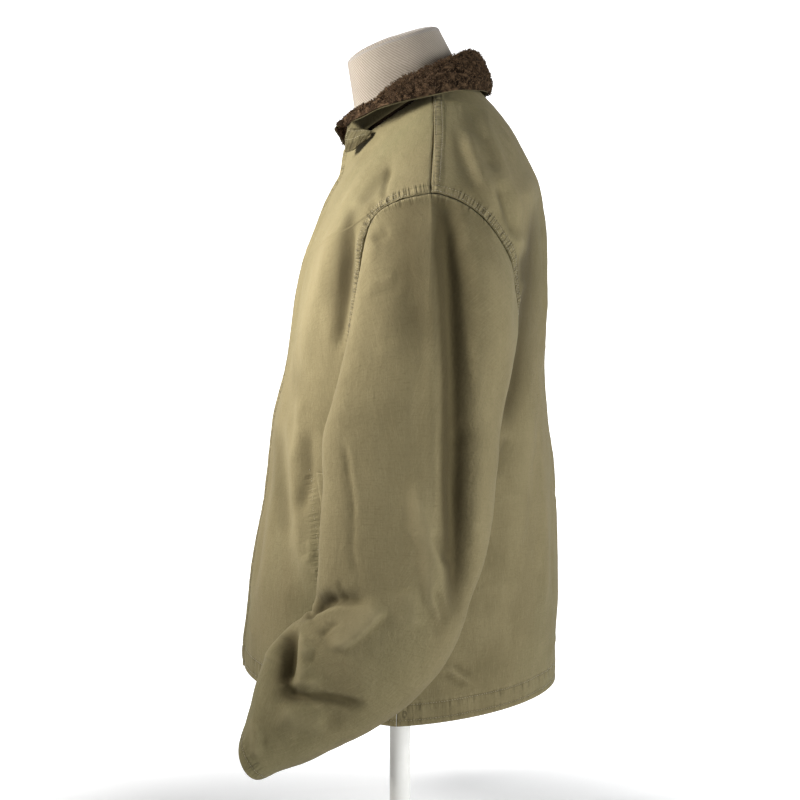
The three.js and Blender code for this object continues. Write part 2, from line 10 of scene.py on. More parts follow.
import bpy
import numpy as np
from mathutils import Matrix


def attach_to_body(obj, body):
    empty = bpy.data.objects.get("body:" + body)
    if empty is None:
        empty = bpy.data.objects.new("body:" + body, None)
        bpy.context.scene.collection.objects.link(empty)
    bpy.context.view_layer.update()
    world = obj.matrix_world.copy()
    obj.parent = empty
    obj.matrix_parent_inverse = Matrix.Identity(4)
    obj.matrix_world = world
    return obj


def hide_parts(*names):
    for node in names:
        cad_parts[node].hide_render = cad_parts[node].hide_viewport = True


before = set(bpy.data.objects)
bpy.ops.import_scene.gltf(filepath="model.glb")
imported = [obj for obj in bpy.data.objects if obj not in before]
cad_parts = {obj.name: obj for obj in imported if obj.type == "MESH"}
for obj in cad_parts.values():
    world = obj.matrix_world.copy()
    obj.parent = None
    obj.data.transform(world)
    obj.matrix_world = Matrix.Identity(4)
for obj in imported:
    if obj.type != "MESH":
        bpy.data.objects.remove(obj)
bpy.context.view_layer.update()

# ------------------------------------------------------------------ named sizes, mm
SHELL = 2.4
SEAM_GAP = 0.3
FLAP_LIFT = 0.5
FLAP_WALL = 2.2
FLAP_RIGHT = -36.0
FLAP_LEFT = 26.0
BUTTON_X = -19.0
BUTTON_R = 7.6
PILE = 7.5
COLLAR_CLOTH = 1.5
COLLAR_GAP = 0.5
COLLAR_FOLD_R = 3.2
PLATE_R = 195.0
POLE_R = 12.5
SQUARE = 2.2
SKEW = 2.4
CAP = 0.24
HEM_BAND = 26.0  # from the edge to the upper stitches
HEM_LOW_STITCH = 6.5
ARMHOLE_BAND = 9.5
SHOULDER_BAND = 10.5
CUFF_BAND = 11.0
EDGE_ROUND = 1.15
VIEW_D = 2200.0  # the camera's distance from the middle plane
VIEW_Z = 730.0
MM = 0.001


def table(names, rows):
    return {n: np.array([r[i] for r in rows], float) for i, n in enumerate(names.split())}


# Rings of the jacket's body, from hem (s 0) to neck seam (s 1).
BODY = table(
    "s zFront yFront zSide xSide ySide zBack yBack slope square",
    [
        (0.0, 259, -186.5, 228, 195, -4, 243, 186.0, 1.2, 2.0),
        (0.08, 298, -183.0, 275, 197, -3, 284, 186.0, 1.2, 2.05),
        (0.2, 350, -178.0, 340, 199, 0, 344, 186.5, 1.3, 2.1),
        (0.33, 420, -168.0, 415, 201, 4, 415, 185.0, 1.4, 2.15),
        (0.46, 485, -156.0, 485, 204, 8, 485, 181.5, 1.6, 2.2),
        (0.58, 550, -149.0, 545, 207, 12, 550, 176.0, 1.6, 2.2),
        (0.66, 606, -135.0, 630, 222, 18, 622, 170.5, 1.6, 2.2),
        (0.74, 662, -126.0, 715, 243, 24, 696, 173.0, 1.6, 2.2),
        (0.8, 706, -119.0, 772, 249, 29, 757, 172.5, 1.5, 2.2),
        (0.85, 742, -111.0, 812, 240, 31.6, 805, 167.0, 1.4, 2.2),
        (0.9, 779, -98.5, 852, 195, 35, 850, 154.0, 1.2, 2.2),
        (0.95, 820, -80.0, 890, 147, 37.5, 893, 132.0, 1.05, 2.2),
        (0.975, 844, -68.5, 912, 116, 37.5, 919, 112.0, 1.0, 2.2),
        (1.0, 870, -65.5, 934, 84, 37, 944, 88.0, 0.95, 2.2),
    ],
)
ARM_BOTTOM, ARM_TOP, ARM_FRONT, ARM_BACK = 0.58, 0.85, 70.0, 106.0
ARM_FRONT_TOP, ARM_BACK_TOP, ARM_LOW = 6.5, 1.75, 2.2
# Rings of the left sleeve below the armhole.
SLEEVE = table(
    "t x y z half deep pitch lead",
    [
        (0.0, 262, 19.5, 588, 90.5, 50, 0, -50),
        (0.09, 264, 11.0, 551, 92.5, 50, 0, -35),
        (0.21, 266, 8.0, 496, 89.5, 49, 1.8, -18),
        (0.33, 267, 2.0, 435, 87.5, 49, 3.6, -8),
        (0.43, 266, -6.5, 387, 82.0, 51, 4.5, -3),
        (0.52, 265, -19.0, 348.5, 77.5, 53, 17, 0),
        (0.61, 263, -43.0, 320, 74.5, 55, 35, 0),
        (0.7, 260, -73.5, 296, 71.0, 56, 45, 2),
        (0.79, 256, -101.0, 273.5, 62.5, 58, 50, 4),
        (0.88, 251, -123.0, 251.5, 50.5, 60, 55, 6),
        (0.95, 247, -140.0, 231.0, 36.0, 61, 57, 9),
        (1.0, 245, -151.5, 216.5, 26.0, 62, 58, 13),
    ],
)
FOLD_NAMES = "y0 z0 y1 z1 wide depth"
SLEEVE_FOLDS = {
    1: table(
        FOLD_NAMES,
        [
            (48, 768, 64, 560, 17, -8),
            (64, 560, 58, 380, 14, -11),
            (84, 640, 82, 450, 20, 5),
            (20, 500, 44, 380, 12, 5),
            (-84, 352, -40, 352, 9, -10),
            (-60, 330, -28, 354, 10, 8),
            (-104, 336, -116, 286, 12, -12),
            (-104, 268, -48, 262, 11, -9),
        ],
    ),
    -1: table(
        FOLD_NAMES,
        [
            (40, 760, 58, 590, 18, -8),
            (58, 590, 66, 400, 15, -10),
            (88, 620, 80, 470, 19, 5),
            (10, 520, 36, 400, 13, 5),
            (-86, 358, -36, 344, 10, -10),
            (-66, 322, -30, 346, 10, 7),
            (-98, 330, -118, 280, 13, -11),
            (-96, 262, -52, 268, 11, -8),
        ],
    ),
}
BODY_FOLDS = table(
    FOLD_NAMES + " rightScale",
    [
        (-44, 792, -72, 690, 14, -6, 0.8),
        (-88, 760, -108, 610, 18, 3.5, 1.1),
        (-118, 590, -112, 450, 15, 4, 0.9),
        (-112, 450, -84, 360, 15, 3.5, 0.9),
        (133, 812, 118, 730, 10, 5, 0.9),
        (146, 800, 138, 700, 13, -5, 1.0),
        (128, 640, 118, 560, 16, -6, 0.8),
    ],
)
COLLAR = table(
    "q round xFold yFold zFold xEdge yEdge zEdge",
    [
        (-1.0, -6, -14, -75, 899, -27, -65, 879),
        (-0.92, -20, -32, -66, 906, -54, -62, 882),
        (-0.8, -38, -53, -42, 915, -84, -44, 893),
        (-0.64, -62, -69, -12, 933, -105, -13, 912),
        (-0.46, -92, -73, 26, 953, -110, 30, 922),
        (-0.3, -122, -61, 58, 968, -86, 69.5, 933.5),
        (-0.15, -150, -35, 79, 978, -48, 97, 936),
        (0.0, -180, 0, 86.5, 981, 0, 104.5, 937),
        (0.15, -210, 35, 79, 978, 48, 97, 936),
        (0.3, -238, 61, 58, 968, 86, 69.5, 933.5),
        (0.46, -268, 73, 26, 953, 111, 30, 924),
        (0.6, -290, 71, -6, 938, 109, 0, 918),
        (0.74, -311, 64, -27, 918, 101, -24, 912),
        (0.86, -329, 53, -42, 911, 89, -42, 904),
        (0.94, -341, 42, -53, 907, 76, -55, 899),
        (1.0, -350, 31, -60, 903, 63, -62, 893),
    ],
)
BUTTONS = [(846, 2.2), (751, 3.0), (647, 0.7), (543, 0.7), (439, 0.7), (335, 0.7)]
POCKET = {"sTop": 0.505, "sBottom": 0.215, "yTop": -93.0, "yBottom": -70.0, "width": 21.0}
TAB = table(
    "a x y z drop",
    [(0.0, 47, -59, 894, 30), (0.35, 57, -51, 892, 26), (0.7, 68, -41, 890, 16), (1.0, 76.5, -31, 888, 7)],
)
FORM = table(
    "s zFront yFront zSide xSide ySide zBack yBack slope square",
    [
        (0.0, 305, -104, 305, 148, 0, 305, 106, 1.6, 2.2),
        (0.12, 370, -108, 370, 150, 0, 370, 102, 1.6, 2.2),
        (0.26, 460, -104, 460, 146, 2, 460, 104, 1.6, 2.2),
        (0.4, 560, -110, 560, 162, 8, 560, 124, 1.6, 2.2),
        (0.52, 650, -112, 655, 182, 14, 655, 142, 1.6, 2.2),
        (0.62, 710, -104, 735, 196, 22, 730, 150, 1.5, 2.2),
        (0.7, 752, -92, 792, 198, 27, 790, 148, 1.4, 2.2),
        (0.76, 786, -80, 832, 178, 31, 833, 137, 1.2, 2.2),
        (0.82, 822, -66, 872, 134, 33, 874, 118, 1.1, 2.2),
        (0.87, 858, -53, 908, 86, 33, 914, 90, 1.0, 2.2),
        (0.91, 886, -50, 930, 64, 28, 940, 77, 1.0, 2.2),
        (0.95, 924, -54.5, 956, 57, 14, 966, 69, 1.0, 2.2),
        (1.0, 973, -62, 993, 54, -8, 1012, 46, 1.0, 2.2),
    ],
)

# Creases: depth (a ridge is above 0), half-width on the right and on the left of the way it runs, and its line. Shifted
# a few mm, they also paint shade into the cloth's colour along troughs and highlight along ridges.
SLEEVE_CREASES_LEFT = [
    (-4.2, 34, 24, [(8, 930), (12, 806), (16, 750), (24, 690), (30, 600)]),  # the cap hangs in below the seam
    (-9, 12, 17, [(42, 930), (53, 819), (57, 760), (61, 671), (64, 575), (61, 497), (64, 407), (66, 328)]),  # shoulder to elbow
    (2.0, 14, 10, [(32, 820), (37, 730), (49, 641), (43, 527), (50, 419), (56, 346)]),  # roll ahead of it
    (2.2, 14, 8, [(12, 488), (24, 443), (37, 407), (49, 374), (59, 331)]),  # sharp ridge at its foot
    (-2.6, 5, 7, [(40, 419), (50, 389), (62, 377)]),  # notch beside the ridge
    (1.3, 4, 4, [(10, 428), (19, 414), (26, 403)]),
    (2, 8, 4, [(30, 389), (35, 358), (44, 328), (54, 298)]),
    (-3, 4, 4.5, [(41, 352), (49, 325), (57, 298)]),
    (-2, 4, 5, [(35, 328), (42, 307), (52, 284)]),
    (2.5, 22, 9, [(10, 352), (15, 322), (23, 298)]),  # swell over the elbow
    (-1.3, 6, 3.5, [(-73, 542), (-65, 524), (-62, 497), (-55, 452), (-56, 413), (-58, 392), (-48, 361), (-45, 337)]),
    (0.9, 3, 7, [(-68, 539), (-60, 518), (-56, 488), (-50, 452), (-51, 419)]),
    (1, 5, 4, [(77, 433), (87, 426), (97, 420)]),  # slanting ridge at the back
    (-6.5, 4, 12, [(-122, 306), (-98, 326), (-74, 333), (-50, 331), (-30, 329)]),  # pit of the elbow
    (-6, 5, 12, [(-128, 318), (-104, 323), (-92, 328), (-72, 336)]),
    (-1.6, 3, 3.5, [(-76, 360), (-70, 344), (-63, 330)]),
    (8, 24, 5, [(-14, 328), (-24, 318), (-44, 297), (-64, 280), (-90, 277)]),  # the lit plate of cloth below the crook
    (-1.3, 3.5, 5, [(-97, 288), (-84, 299), (-69, 308)]),
    (-10, 13, 6, [(-126, 308), (-130, 290), (-130, 266), (-133, 240), (-133, 226)]),  # big trough of the forearm
    (-7.5, 8, 6, [(-138, 234), (-128, 219), (-115, 215), (-98, 217), (-72, 212), (-36, 204)]),
    (3.4, 5, 9, [(-118, 298), (-118, 272), (-117, 248), (-111, 234)]),
    (2.4, 6, 8, [(-126, 238), (-110, 232), (-92, 235)]),
    (3.6, 7, 7, [(-111, 284), (-114, 261), (-122, 237), (-130, 223)]),
    (-1.0, 4, 4, [(-103, 275), (-105, 266), (-108, 255)]),
    (3.5, 14, 14, [(-146, 298), (-154, 279), (-163, 258)]),
    (4, 16, 14, [(-151, 203), (-130, 191), (-106, 185), (-82, 191)]),
    (-1.4, 13, 12, [(-66, 202), (-82, 182), (-109, 168), (-139, 175)]),
    (3, 6, 6, [(-178, 191), (-171, 174), (-174, 151), (-177, 139)]),  # ridge on the cuff
    (-1.2, 6, 6, [(-171, 194), (-163, 172), (-166, 151)]),
    (1.6, 6, 10, [(-40, 742), (-34, 752), (-25, 762)]),
    (-2.2, 6, 6, [(-33, 766), (-24, 774), (-13, 780)]),
    (1.2, 6, 6, [(-42, 708), (-24, 717), (-3, 727)]),
    (-1, 5, 5, [(-39, 700), (-18, 710), (4, 720)]),
    (0.8, 6, 6, [(-30, 632), (-6, 644), (12, 650)]),
    (2, 18, 18, [(92, 760), (107, 715), (119, 671), (116, 611)]),
    (-1.6, 12, 12, [(79, 774), (85, 715), (89, 641)]),
]
SLEEVE_CREASES_RIGHT = [
    (-5, 10, 15, [(48, 806), (54, 742), (63, 655), (66, 560), (60, 470), (58, 395), (62, 340)]),
    (2.4, 13, 8, [(38, 790), (44, 700), (50, 610), (47, 520), (48, 430), (52, 360)]),
    (2.2, 12, 7, [(4, 470), (18, 430), (33, 396), (47, 362)]),
    (-2.4, 5, 7, [(36, 405), (47, 380), (58, 366)]),
    (1.8, 8, 5, [(26, 372), (34, 344), (45, 312)]),
    (-2.6, 4, 5, [(38, 340), (47, 316), (55, 290)]),
    (2.3, 20, 9, [(6, 340), (12, 314), (22, 290)]),
    (-1.2, 5, 4, [(-66, 560), (-60, 515), (-52, 470), (-55, 420), (-50, 372)]),
    (-5.5, 8, 8, [(-96, 330), (-84, 333), (-68, 330)]),
    (-2.6, 4, 5, [(-70, 366), (-66, 348), (-58, 330)]),
    (4.6, 12, 11, [(-108, 304), (-82, 302), (-56, 306), (-36, 318)]),
    (2.8, 9, 5, [(-28, 316), (-42, 296), (-64, 278), (-90, 272)]),
    (-3.2, 8, 8, [(-20, 300), (-38, 280), (-62, 264), (-88, 258)]),
    (-7, 12, 13, [(-120, 306), (-127, 280), (-138, 258), (-147, 240)]),
    (-5, 9, 8, [(-140, 240), (-126, 224), (-104, 214), (-76, 212), (-50, 204)]),
    (3.2, 7, 8, [(-108, 288), (-113, 262), (-122, 240)]),
    (3.6, 16, 14, [(-148, 206), (-124, 194), (-98, 190)]),
    (2.6, 6, 6, [(-176, 196), (-170, 176), (-173, 154)]),
    (-2.4, 5, 5, [(-168, 196), (-162, 176), (-165, 154)]),
    (1.4, 7, 6, [(-38, 690), (-16, 702), (6, 708)]),
    (0.9, 7, 6, [(-28, 612), (-4, 622), (20, 626)]),
    (2, 17, 18, [(96, 740), (108, 690), (112, 640), (108, 580)]),
]
BODY_CREASES_LEFT = [
    (-5.5, 8, 7, [(-55, 812), (-59, 766), (-61, 730), (-65, 694), (-76, 620)]),  # in front of the armhole
    (2.4, 12, 9, [(-18, 877), (-47, 842), (-77, 789), (-95, 730), (-110, 656), (-118, 587)]),  # from the collar down
    (-1.6, 8, 9, [(-30, 872), (-59, 836), (-86, 792), (-104, 742), (-119, 686)]),
    (1.3, 6, 6, [(-41, 866), (-68, 833), (-89, 801)]),
    (-2, 7, 8, [(-2, 866), (-33, 824), (-62, 778)]),
    (2, 8, 8, [(-47, 822), (-46, 771), (-46, 735)]),
    (-1.6, 3, 4, [(-11, 858), (-16, 844), (-19, 826), (-18, 808)]),
    (-1.3, 4, 4, [(-26, 818), (-33, 799), (-40, 768)]),
    (2.2, 5, 5, [(-118, 587), (-122, 527), (-127, 491)]),  # long ridge down the front
    (2.6, 9, 6, [(-137, 569), (-132, 512), (-127, 452), (-122, 407), (-113, 364), (-102, 331)]),
    (-3, 9, 9, [(-145, 557), (-140, 497), (-136, 443), (-131, 395)]),
    (-3, 9, 7, [(-108, 548), (-111, 473), (-120, 446), (-120, 428)]),  # at the pocket
    (1.6, 5, 5, [(-114, 389), (-107, 377), (-96, 363)]),
    (1.4, 5, 4, [(-111, 407), (-106, 395), (-108, 380)]),
    (2, 12, 8, [(77, 901), (89, 860), (107, 819), (119, 780)]),  # drapes behind the shoulder
    (-2, 8, 7, [(65, 898), (75, 860), (92, 822), (107, 798)]),
    (2.2, 9, 8, [(92, 927), (112, 872), (133, 819), (147, 774)]),
    (-4, 8, 9, [(118, 836), (127, 807), (141, 762)]),  # behind the armhole
    (-1.8, 9, 8, [(80, 927), (102, 877), (118, 842)]),
    (3, 9, 12, [(152, 848), (156, 801), (144, 736)]),
    (-7, 14, 16, [(158, 842), (163, 770), (160, 700), (140, 600), (133, 527)]),  # long hollow down the back
    (1.8, 4, 5, [(155, 720), (146, 703), (134, 681)]),
    (2.6, 12, 6, [(161, 587), (154, 527), (148, 467), (145, 425), (135, 377)]),  # long ridge of the back
    (1.6, 10, 14, [(135, 377), (126, 346), (108, 298), (108, 267)]),
    (-2.6, 6, 6, [(134, 536), (123, 506), (114, 479)]),
    (2, 6, 4, [(54, 255), (69, 243), (88, 232)]),  # creases above the hem
    (-2, 4, 5, [(51, 246), (69, 235), (83, 228)]),
    (-1.5, 4, 4, [(63, 258), (78, 246), (90, 238)]),
    (0.8, 5, 5, [(108, 458), (126, 455), (147, 463)]),
    (0.8, 5, 5, [(90, 349), (111, 346), (132, 355)]),
]
BODY_CREASES_RIGHT = [
    (-4.6, 9, 8, [(-55, 805), (-60, 760), (-64, 710), (-72, 650)]),
    (2.4, 11, 9, [(-22, 872), (-50, 832), (-78, 780), (-96, 715), (-108, 640)]),
    (-1.6, 8, 9, [(-34, 866), (-62, 826), (-88, 780), (-106, 725)]),
    (-2.2, 7, 7, [(-8, 852), (-35, 816), (-56, 782)]),
    (2.4, 8, 8, [(-48, 794), (-45, 764), (-44, 738)]),
    (2, 6, 5, [(-120, 600), (-124, 540), (-126, 486)]),
    (2.4, 9, 6, [(-136, 556), (-130, 500), (-125, 440), (-116, 385), (-104, 340)]),
    (-2.8, 9, 9, [(-144, 545), (-139, 488), (-134, 430)]),
    (-2.6, 8, 7, [(-106, 540), (-110, 480), (-118, 440)]),
    (2, 11, 8, [(72, 896), (86, 852), (104, 812)]),
    (-1.8, 8, 7, [(62, 892), (74, 856), (90, 820)]),
    (2.2, 9, 8, [(96, 920), (114, 866), (132, 812)]),
    (-3.6, 8, 9, [(116, 830), (126, 800), (138, 756)]),
    (2.8, 10, 12, [(150, 840), (154, 792), (145, 730)]),
    (-6.5, 14, 16, [(160, 826), (164, 750), (158, 690), (138, 600), (132, 540)]),
    (2.4, 11, 7, [(158, 590), (152, 520), (146, 455), (134, 390)]),
    (1.6, 12, 13, [(134, 380), (122, 336), (110, 290)]),
    (-2.2, 6, 6, [(132, 520), (122, 492), (115, 470)]),
    (1.8, 6, 4, [(60, 262), (76, 250), (94, 242)]),
    (-1.8, 4, 5, [(57, 252), (74, 241), (88, 236)]),
]
# As they show from straight behind: x and z.
BACK_CREASES = [
    (2.2, 14, 12, [(-10, 900), (-24, 820), (-40, 700), (-46, 560)]),
    (-2.0, 13, 12, [(18, 890), (30, 800), (44, 690), (50, 560)]),
    (1.8, 10, 13, [(56, 880), (72, 790), (80, 690), (76, 600)]),
    (-1.7, 12, 10, [(-62, 872), (-80, 780), (-92, 680)]),
    (2.0, 16, 14, [(-92, 560), (-84, 470), (-70, 380), (-66, 300)]),
    (-2.1, 15, 14, [(-40, 520), (-30, 420), (-28, 320)]),
    (1.9, 14, 16, [(8, 560), (14, 450), (10, 340), (14, 290)]),
    (-1.8, 13, 15, [(60, 520), (64, 420), (54, 320)]),
    (2.0, 14, 13, [(104, 540), (100, 430), (92, 330)]),
    (0.9, 6, 5, [(-60, 640), (-20, 632), (26, 642)]),
    (-0.8, 5, 6, [(-40, 470), (0, 462), (44, 468)]),
    (1.2, 5, 7, [(-110, 320), (-90, 296), (-66, 284)]),
    (1.1, 6, 5, [(30, 300), (50, 288), (74, 286)]),
]
# From straight ahead: x and z.
FRONT_CREASES = [
    (1.8, 12, 14, [(34, 830), (46, 740), (58, 640), (60, 560)]),
    (-1.5, 10, 12, [(58, 820), (76, 730), (88, 640)]),
    (-1.4, 12, 10, [(-44, 820), (-60, 720), (-66, 620)]),
    (1.7, 12, 13, [(-70, 800), (-86, 700), (-92, 600)]),
    (-1.8, 14, 12, [(48, 540), (60, 440), (58, 340)]),
    (1.9, 13, 14, [(88, 540), (98, 440), (90, 330)]),
    (1.7, 13, 12, [(-52, 560), (-62, 450), (-60, 330)]),
    (-1.6, 12, 13, [(-92, 520), (-100, 420), (-92, 330)]),
    (1.0, 5, 7, [(40, 330), (62, 312), (86, 306)]),
    (1.0, 6, 5, [(-40, 340), (-64, 318), (-90, 312)]),
]
# Puckers that a strained button makes, as a share of the way between two buttons.
PUFF = 2.0
GAIN = 1.45  # on the shallower creases


# ------------------------------------------------------------------ numbers
def column(t, key, name, at):
    x, y = t[key], t[name]
    at = np.asarray(at, float)
    dx = np.diff(x)
    slope = np.diff(y) / dx
    tan = np.zeros_like(y)
    tan[0], tan[-1] = slope[0], slope[-1]
    a, b, p, q = slope[:-1], slope[1:], dx[:-1], dx[1:]
    ok = a * b > 0
    sa, sb = np.where(ok, a, 1), np.where(ok, b, 1)
    tan[1:-1] = np.where(ok, 3 * (p + q) / ((2 * q + p) / sa + (q + 2 * p) / sb), 0)
    i = np.searchsorted(x[1:-1], at, side="left")
    h = x[i + 1] - x[i]
    u = (at - x[i]) / h
    u2, u3 = u * u, u * u * u
    return (
        y[i] * (2 * u3 - 3 * u2 + 1)
        + tan[i] * h * (u3 - 2 * u2 + u)
        + y[i + 1] * (3 * u2 - 2 * u3)
        + tan[i + 1] * h * (u3 - u2)
    )


def power(v, p):
    return np.sign(v) * np.abs(v) ** p


def ease(t):
    t = np.clip(t, 0, 1)
    return t * t * (3 - 2 * t)


def xyz(x, y, z):
    return np.stack(np.broadcast_arrays(np.asarray(x, float), y, z), axis=-1)


def unit(v):
    return v / np.maximum(np.linalg.norm(v, axis=-1, keepdims=True), 1e-9)


NOISE_SIDE = 64
_lattices = {}


def noise(p, size, seed):
    """Smooth noise from about -1 to 1 at points p, with bumps of that size."""
    if seed not in _lattices:
        _lattices[seed] = np.random.default_rng(seed).uniform(-1, 1, (NOISE_SIDE,) * 3)
    grid = _lattices[seed]
    q = np.asarray(p, float) / np.asarray(size, float) + 1000.0
    i = np.floor(q).astype(int)
    f = q - i
    f = f * f * f * (f * (6 * f - 15) + 10)
    out = 0.0
    for a in (0, 1):
        for b in (0, 1):
            for c in (0, 1):
                w = (
                    (f[..., 0] if a else 1 - f[..., 0])
                    * (f[..., 1] if b else 1 - f[..., 1])
                    * (f[..., 2] if c else 1 - f[..., 2])
                )
                out = out + w * grid[(i[..., 0] + a) % NOISE_SIDE, (i[..., 1] + b) % NOISE_SIDE, (i[..., 2] + c) % NOISE_SIDE]
    return out * 1.3


def seen(p, side):
    """Where points show on the middle plane from the camera's place on that side."""
    k = VIEW_D / (VIEW_D - side * p[..., 0])
    return p[..., 1] * k, VIEW_Z + (p[..., 2] - VIEW_Z) * k


def crease(y, z, rows, taper=0.24):
    total = np.zeros_like(y)
    for depth, right, left, line in rows:
        depth = depth * (GAIN if abs(depth) < 5 else 1.0)
        pts = np.array(line, float)
        if len(pts) > 2:  # round the corners of the line
            fine = [pts[0]]
            for a, b in zip(pts[:-1], pts[1:]):
                fine += [a * 0.75 + b * 0.25, a * 0.25 + b * 0.75]
            pts = np.array(fine + [pts[-1]])
        seg = np.diff(pts, axis=0)
        long = np.hypot(seg[:, 0], seg[:, 1])
        start = np.concatenate([[0], np.cumsum(long)])
        best = np.full(y.shape, 1e9)
        hand = np.ones_like(y)
        along = np.zeros_like(y)
        for k in range(len(seg)):
            dx, dz = seg[k]
            t = ((y - pts[k, 0]) * dx + (z - pts[k, 1]) * dz) / (long[k] ** 2)
            t = np.clip(t, 0, 1)
            ex, ez = y - pts[k, 0] - dx * t, z - pts[k, 1] - dz * t
            d = np.hypot(ex, ez)
            near = d < best
            best = np.where(near, d, best)
            hand = np.where(near, dx * ez - dz * ex, hand)
            along = np.where(near, (start[k] + t * long[k]) / start[-1], along)
        w = np.where(hand < 0, right, left)
        fade = ease(along / taper) * ease((1 - along) / taper)
        total += depth * np.exp(-((best / w) ** 2)) * fade
    return total


def distance(p, line):
    """Each point's distance to a polyline, and how far along the polyline in mm that is."""
    shape = p.shape[:-1]
    flat = p.reshape(-1, 3)
    a, b = line[:-1], line[1:]
    ab = b - a
    l2 = np.maximum((ab**2).sum(1), 1e-9)
    run = np.concatenate([[0], np.cumsum(np.sqrt(l2))])
    best = np.empty(len(flat))
    where = np.empty(len(flat))
    for k in range(0, len(flat), 2048):
        q = flat[k : k + 2048, None, :] - a[None]
        t = np.clip((q * ab[None]).sum(2) / l2, 0, 1)
        d = np.linalg.norm(q - ab[None] * t[..., None], axis=2)
        j = d.argmin(1)
        rows = np.arange(len(j))
        best[k : k + 2048] = d[rows, j]
        where[k : k + 2048] = run[j] + t[rows, j] * np.sqrt(l2[j])
    return best.reshape(shape), where.reshape(shape)


# ------------------------------------------------------------------ the CAD's surfaces
def ring_point(t, s, phi):
    c = np.cos(phi)
    front = c >= 0
    y_end = np.where(front, column(t, "s", "yFront", s), column(t, "s", "yBack", s))
    z_end = np.where(front, column(t, "s", "zFront", s), column(t, "s", "zBack", s))
    y_side, z_side = column(t, "s", "ySide", s), column(t, "s", "zSide", s)
    square = column(t, "s", "square", s)
    share = np.abs(c) ** column(t, "s", "slope", s)
    return xyz(
        column(t, "s", "xSide", s) * power(np.sin(phi), 2 / square),
        y_side - np.abs(y_end - y_side) * power(c, 2 / square),
        z_side + (z_end - z_side) * share,
    )


def phi_at(s, dy):
    y_end = np.where(dy < 0, column(BODY, "s", "yFront", s), column(BODY, "s", "yBack", s))
    reach = np.abs(y_end - column(BODY, "s", "ySide", s))
    c = np.minimum(1, np.abs(dy) / reach) ** (column(BODY, "s", "square", s) / 2)
    return np.arccos(np.where(dy < 0, c, -c))


def phi_across(s, x):
    w, square = column(BODY, "s", "xSide", s), column(BODY, "s", "square", s)
    return np.sign(x) * np.arcsin(np.minimum(1, np.abs(x) / w) ** (square / 2))


def fold_depth(folds, p, scale=None):
    total = np.zeros(p.shape[:-1])
    for k in range(len(folds["y0"])):
        f = {n: folds[n][k] for n in folds}
        dy, dz = f["y1"] - f["y0"], f["z1"] - f["z0"]
        long = math.hypot(dy, dz)
        along = ((p[..., 1] - f["y0"]) * dy + (p[..., 2] - f["z0"]) * dz) / long**2
        t = np.clip(along, 0, 1)
        off = np.hypot(p[..., 1] - f["y0"] - dy * t, p[..., 2] - f["z0"] - dz * t)
        fade = ease((along + 0.25) / 0.45) * ease((1.25 - along) / 0.45)
        k_scale = 1.0 if scale is None else np.where(scale, f["rightScale"], 1.0)
        if scale is None:  # finer creases stand in for the ones at the elbow
            k_scale = (1.0, 1.0, 1.0, 1.0, 0.15, 0.15, 0.8, 0.15)[k]
        total += f["depth"] * np.exp(-((off / f["wide"]) ** 2)) * fade * k_scale
    return total


def body_base(s, phi):
    p = ring_point(BODY, s, phi)
    p[..., 1] += SKEW * (1 - np.tanh(p[..., 0] / 14)) * np.maximum(0, np.cos(phi)) ** 3
    return p


def body_normal(s, phi):
    a = body_base(s + 0.004, phi) - body_base(s - 0.004, phi)
    b = body_base(s, phi + 0.02) - body_base(s, phi - 0.02)
    return -unit(np.cross(a, b))


def body_point(s, phi, out=0.0):
    s, phi = np.broadcast_arrays(np.asarray(s, float), np.asarray(phi, float))
    p, n = body_base(s, phi), body_normal(s, phi)
    deep = fold_depth(BODY_FOLDS, p, phi < 0) * np.sin(phi) ** 2
    return p + n * (deep + out)[..., None]


def armhole(psi, inset=0.0):
    up, back = np.cos(psi), np.sin(psi)
    square = np.where(up < 0, ARM_LOW, np.where(back < 0, ARM_FRONT_TOP, ARM_BACK_TOP))
    reach = np.where(back < 0, ARM_FRONT, ARM_BACK) - inset
    half = (ARM_TOP - ARM_BOTTOM) / 2 * (1 - inset / 128)
    return (ARM_TOP + ARM_BOTTOM) / 2 + half * power(up, 2 / square), reach * power(back, 2 / square)


def armhole_point(psi, inset=0.0, out=0.0):
    s, dy = armhole(psi, inset)
    return body_point(s, phi_at(s, dy), out)


def sleeve_ring(t, psi):
    tilt = np.radians(column(SLEEVE, "t", "pitch", t))
    across = power(np.sin(psi), 2 / SQUARE) * column(SLEEVE, "t", "half", t)
    out = power(np.cos(psi), 2 / SQUARE)
    lead = column(SLEEVE, "t", "lead", t) * out
    return xyz(
        column(SLEEVE, "t", "x", t) + out * column(SLEEVE, "t", "deep", t),
        column(SLEEVE, "t", "y", t) + across * np.cos(tilt) - lead * np.sin(tilt),
        column(SLEEVE, "t", "z", t) - across * np.sin(tilt) - lead * np.cos(tilt),
    )


def sleeve_base(u, psi):
    u, psi = np.broadcast_arrays(np.asarray(u, float), np.asarray(psi, float))
    low = sleeve_ring(np.clip((u - CAP) / (1 - CAP), 0, 1), psi)
    h = np.clip(u / CAP, 0, 1)[..., None]
    p0 = armhole_point(psi, SEAM_GAP + 0.35)
    p1 = sleeve_ring(np.zeros_like(psi), psi)
    t1 = unit(sleeve_ring(np.full_like(psi, 0.004), psi) - p1)
    top = 0.5 + 0.5 * np.cos(psi)
    t0 = unit(xyz(1 - 0.18 * top, 0.05 * np.sin(psi), -0.1 - 0.6 * top))
    long = np.linalg.norm(p1 - p0, axis=-1, keepdims=True) * 1.05
    h2, h3 = h * h, h * h * h
    cap = p0 * (2 * h3 - 3 * h2 + 1) + t0 * long * (h3 - 2 * h2 + h) + p1 * (3 * h2 - 2 * h3) + t1 * long * (h3 - h2)
    return np.where((u >= CAP)[..., None], low, cap)


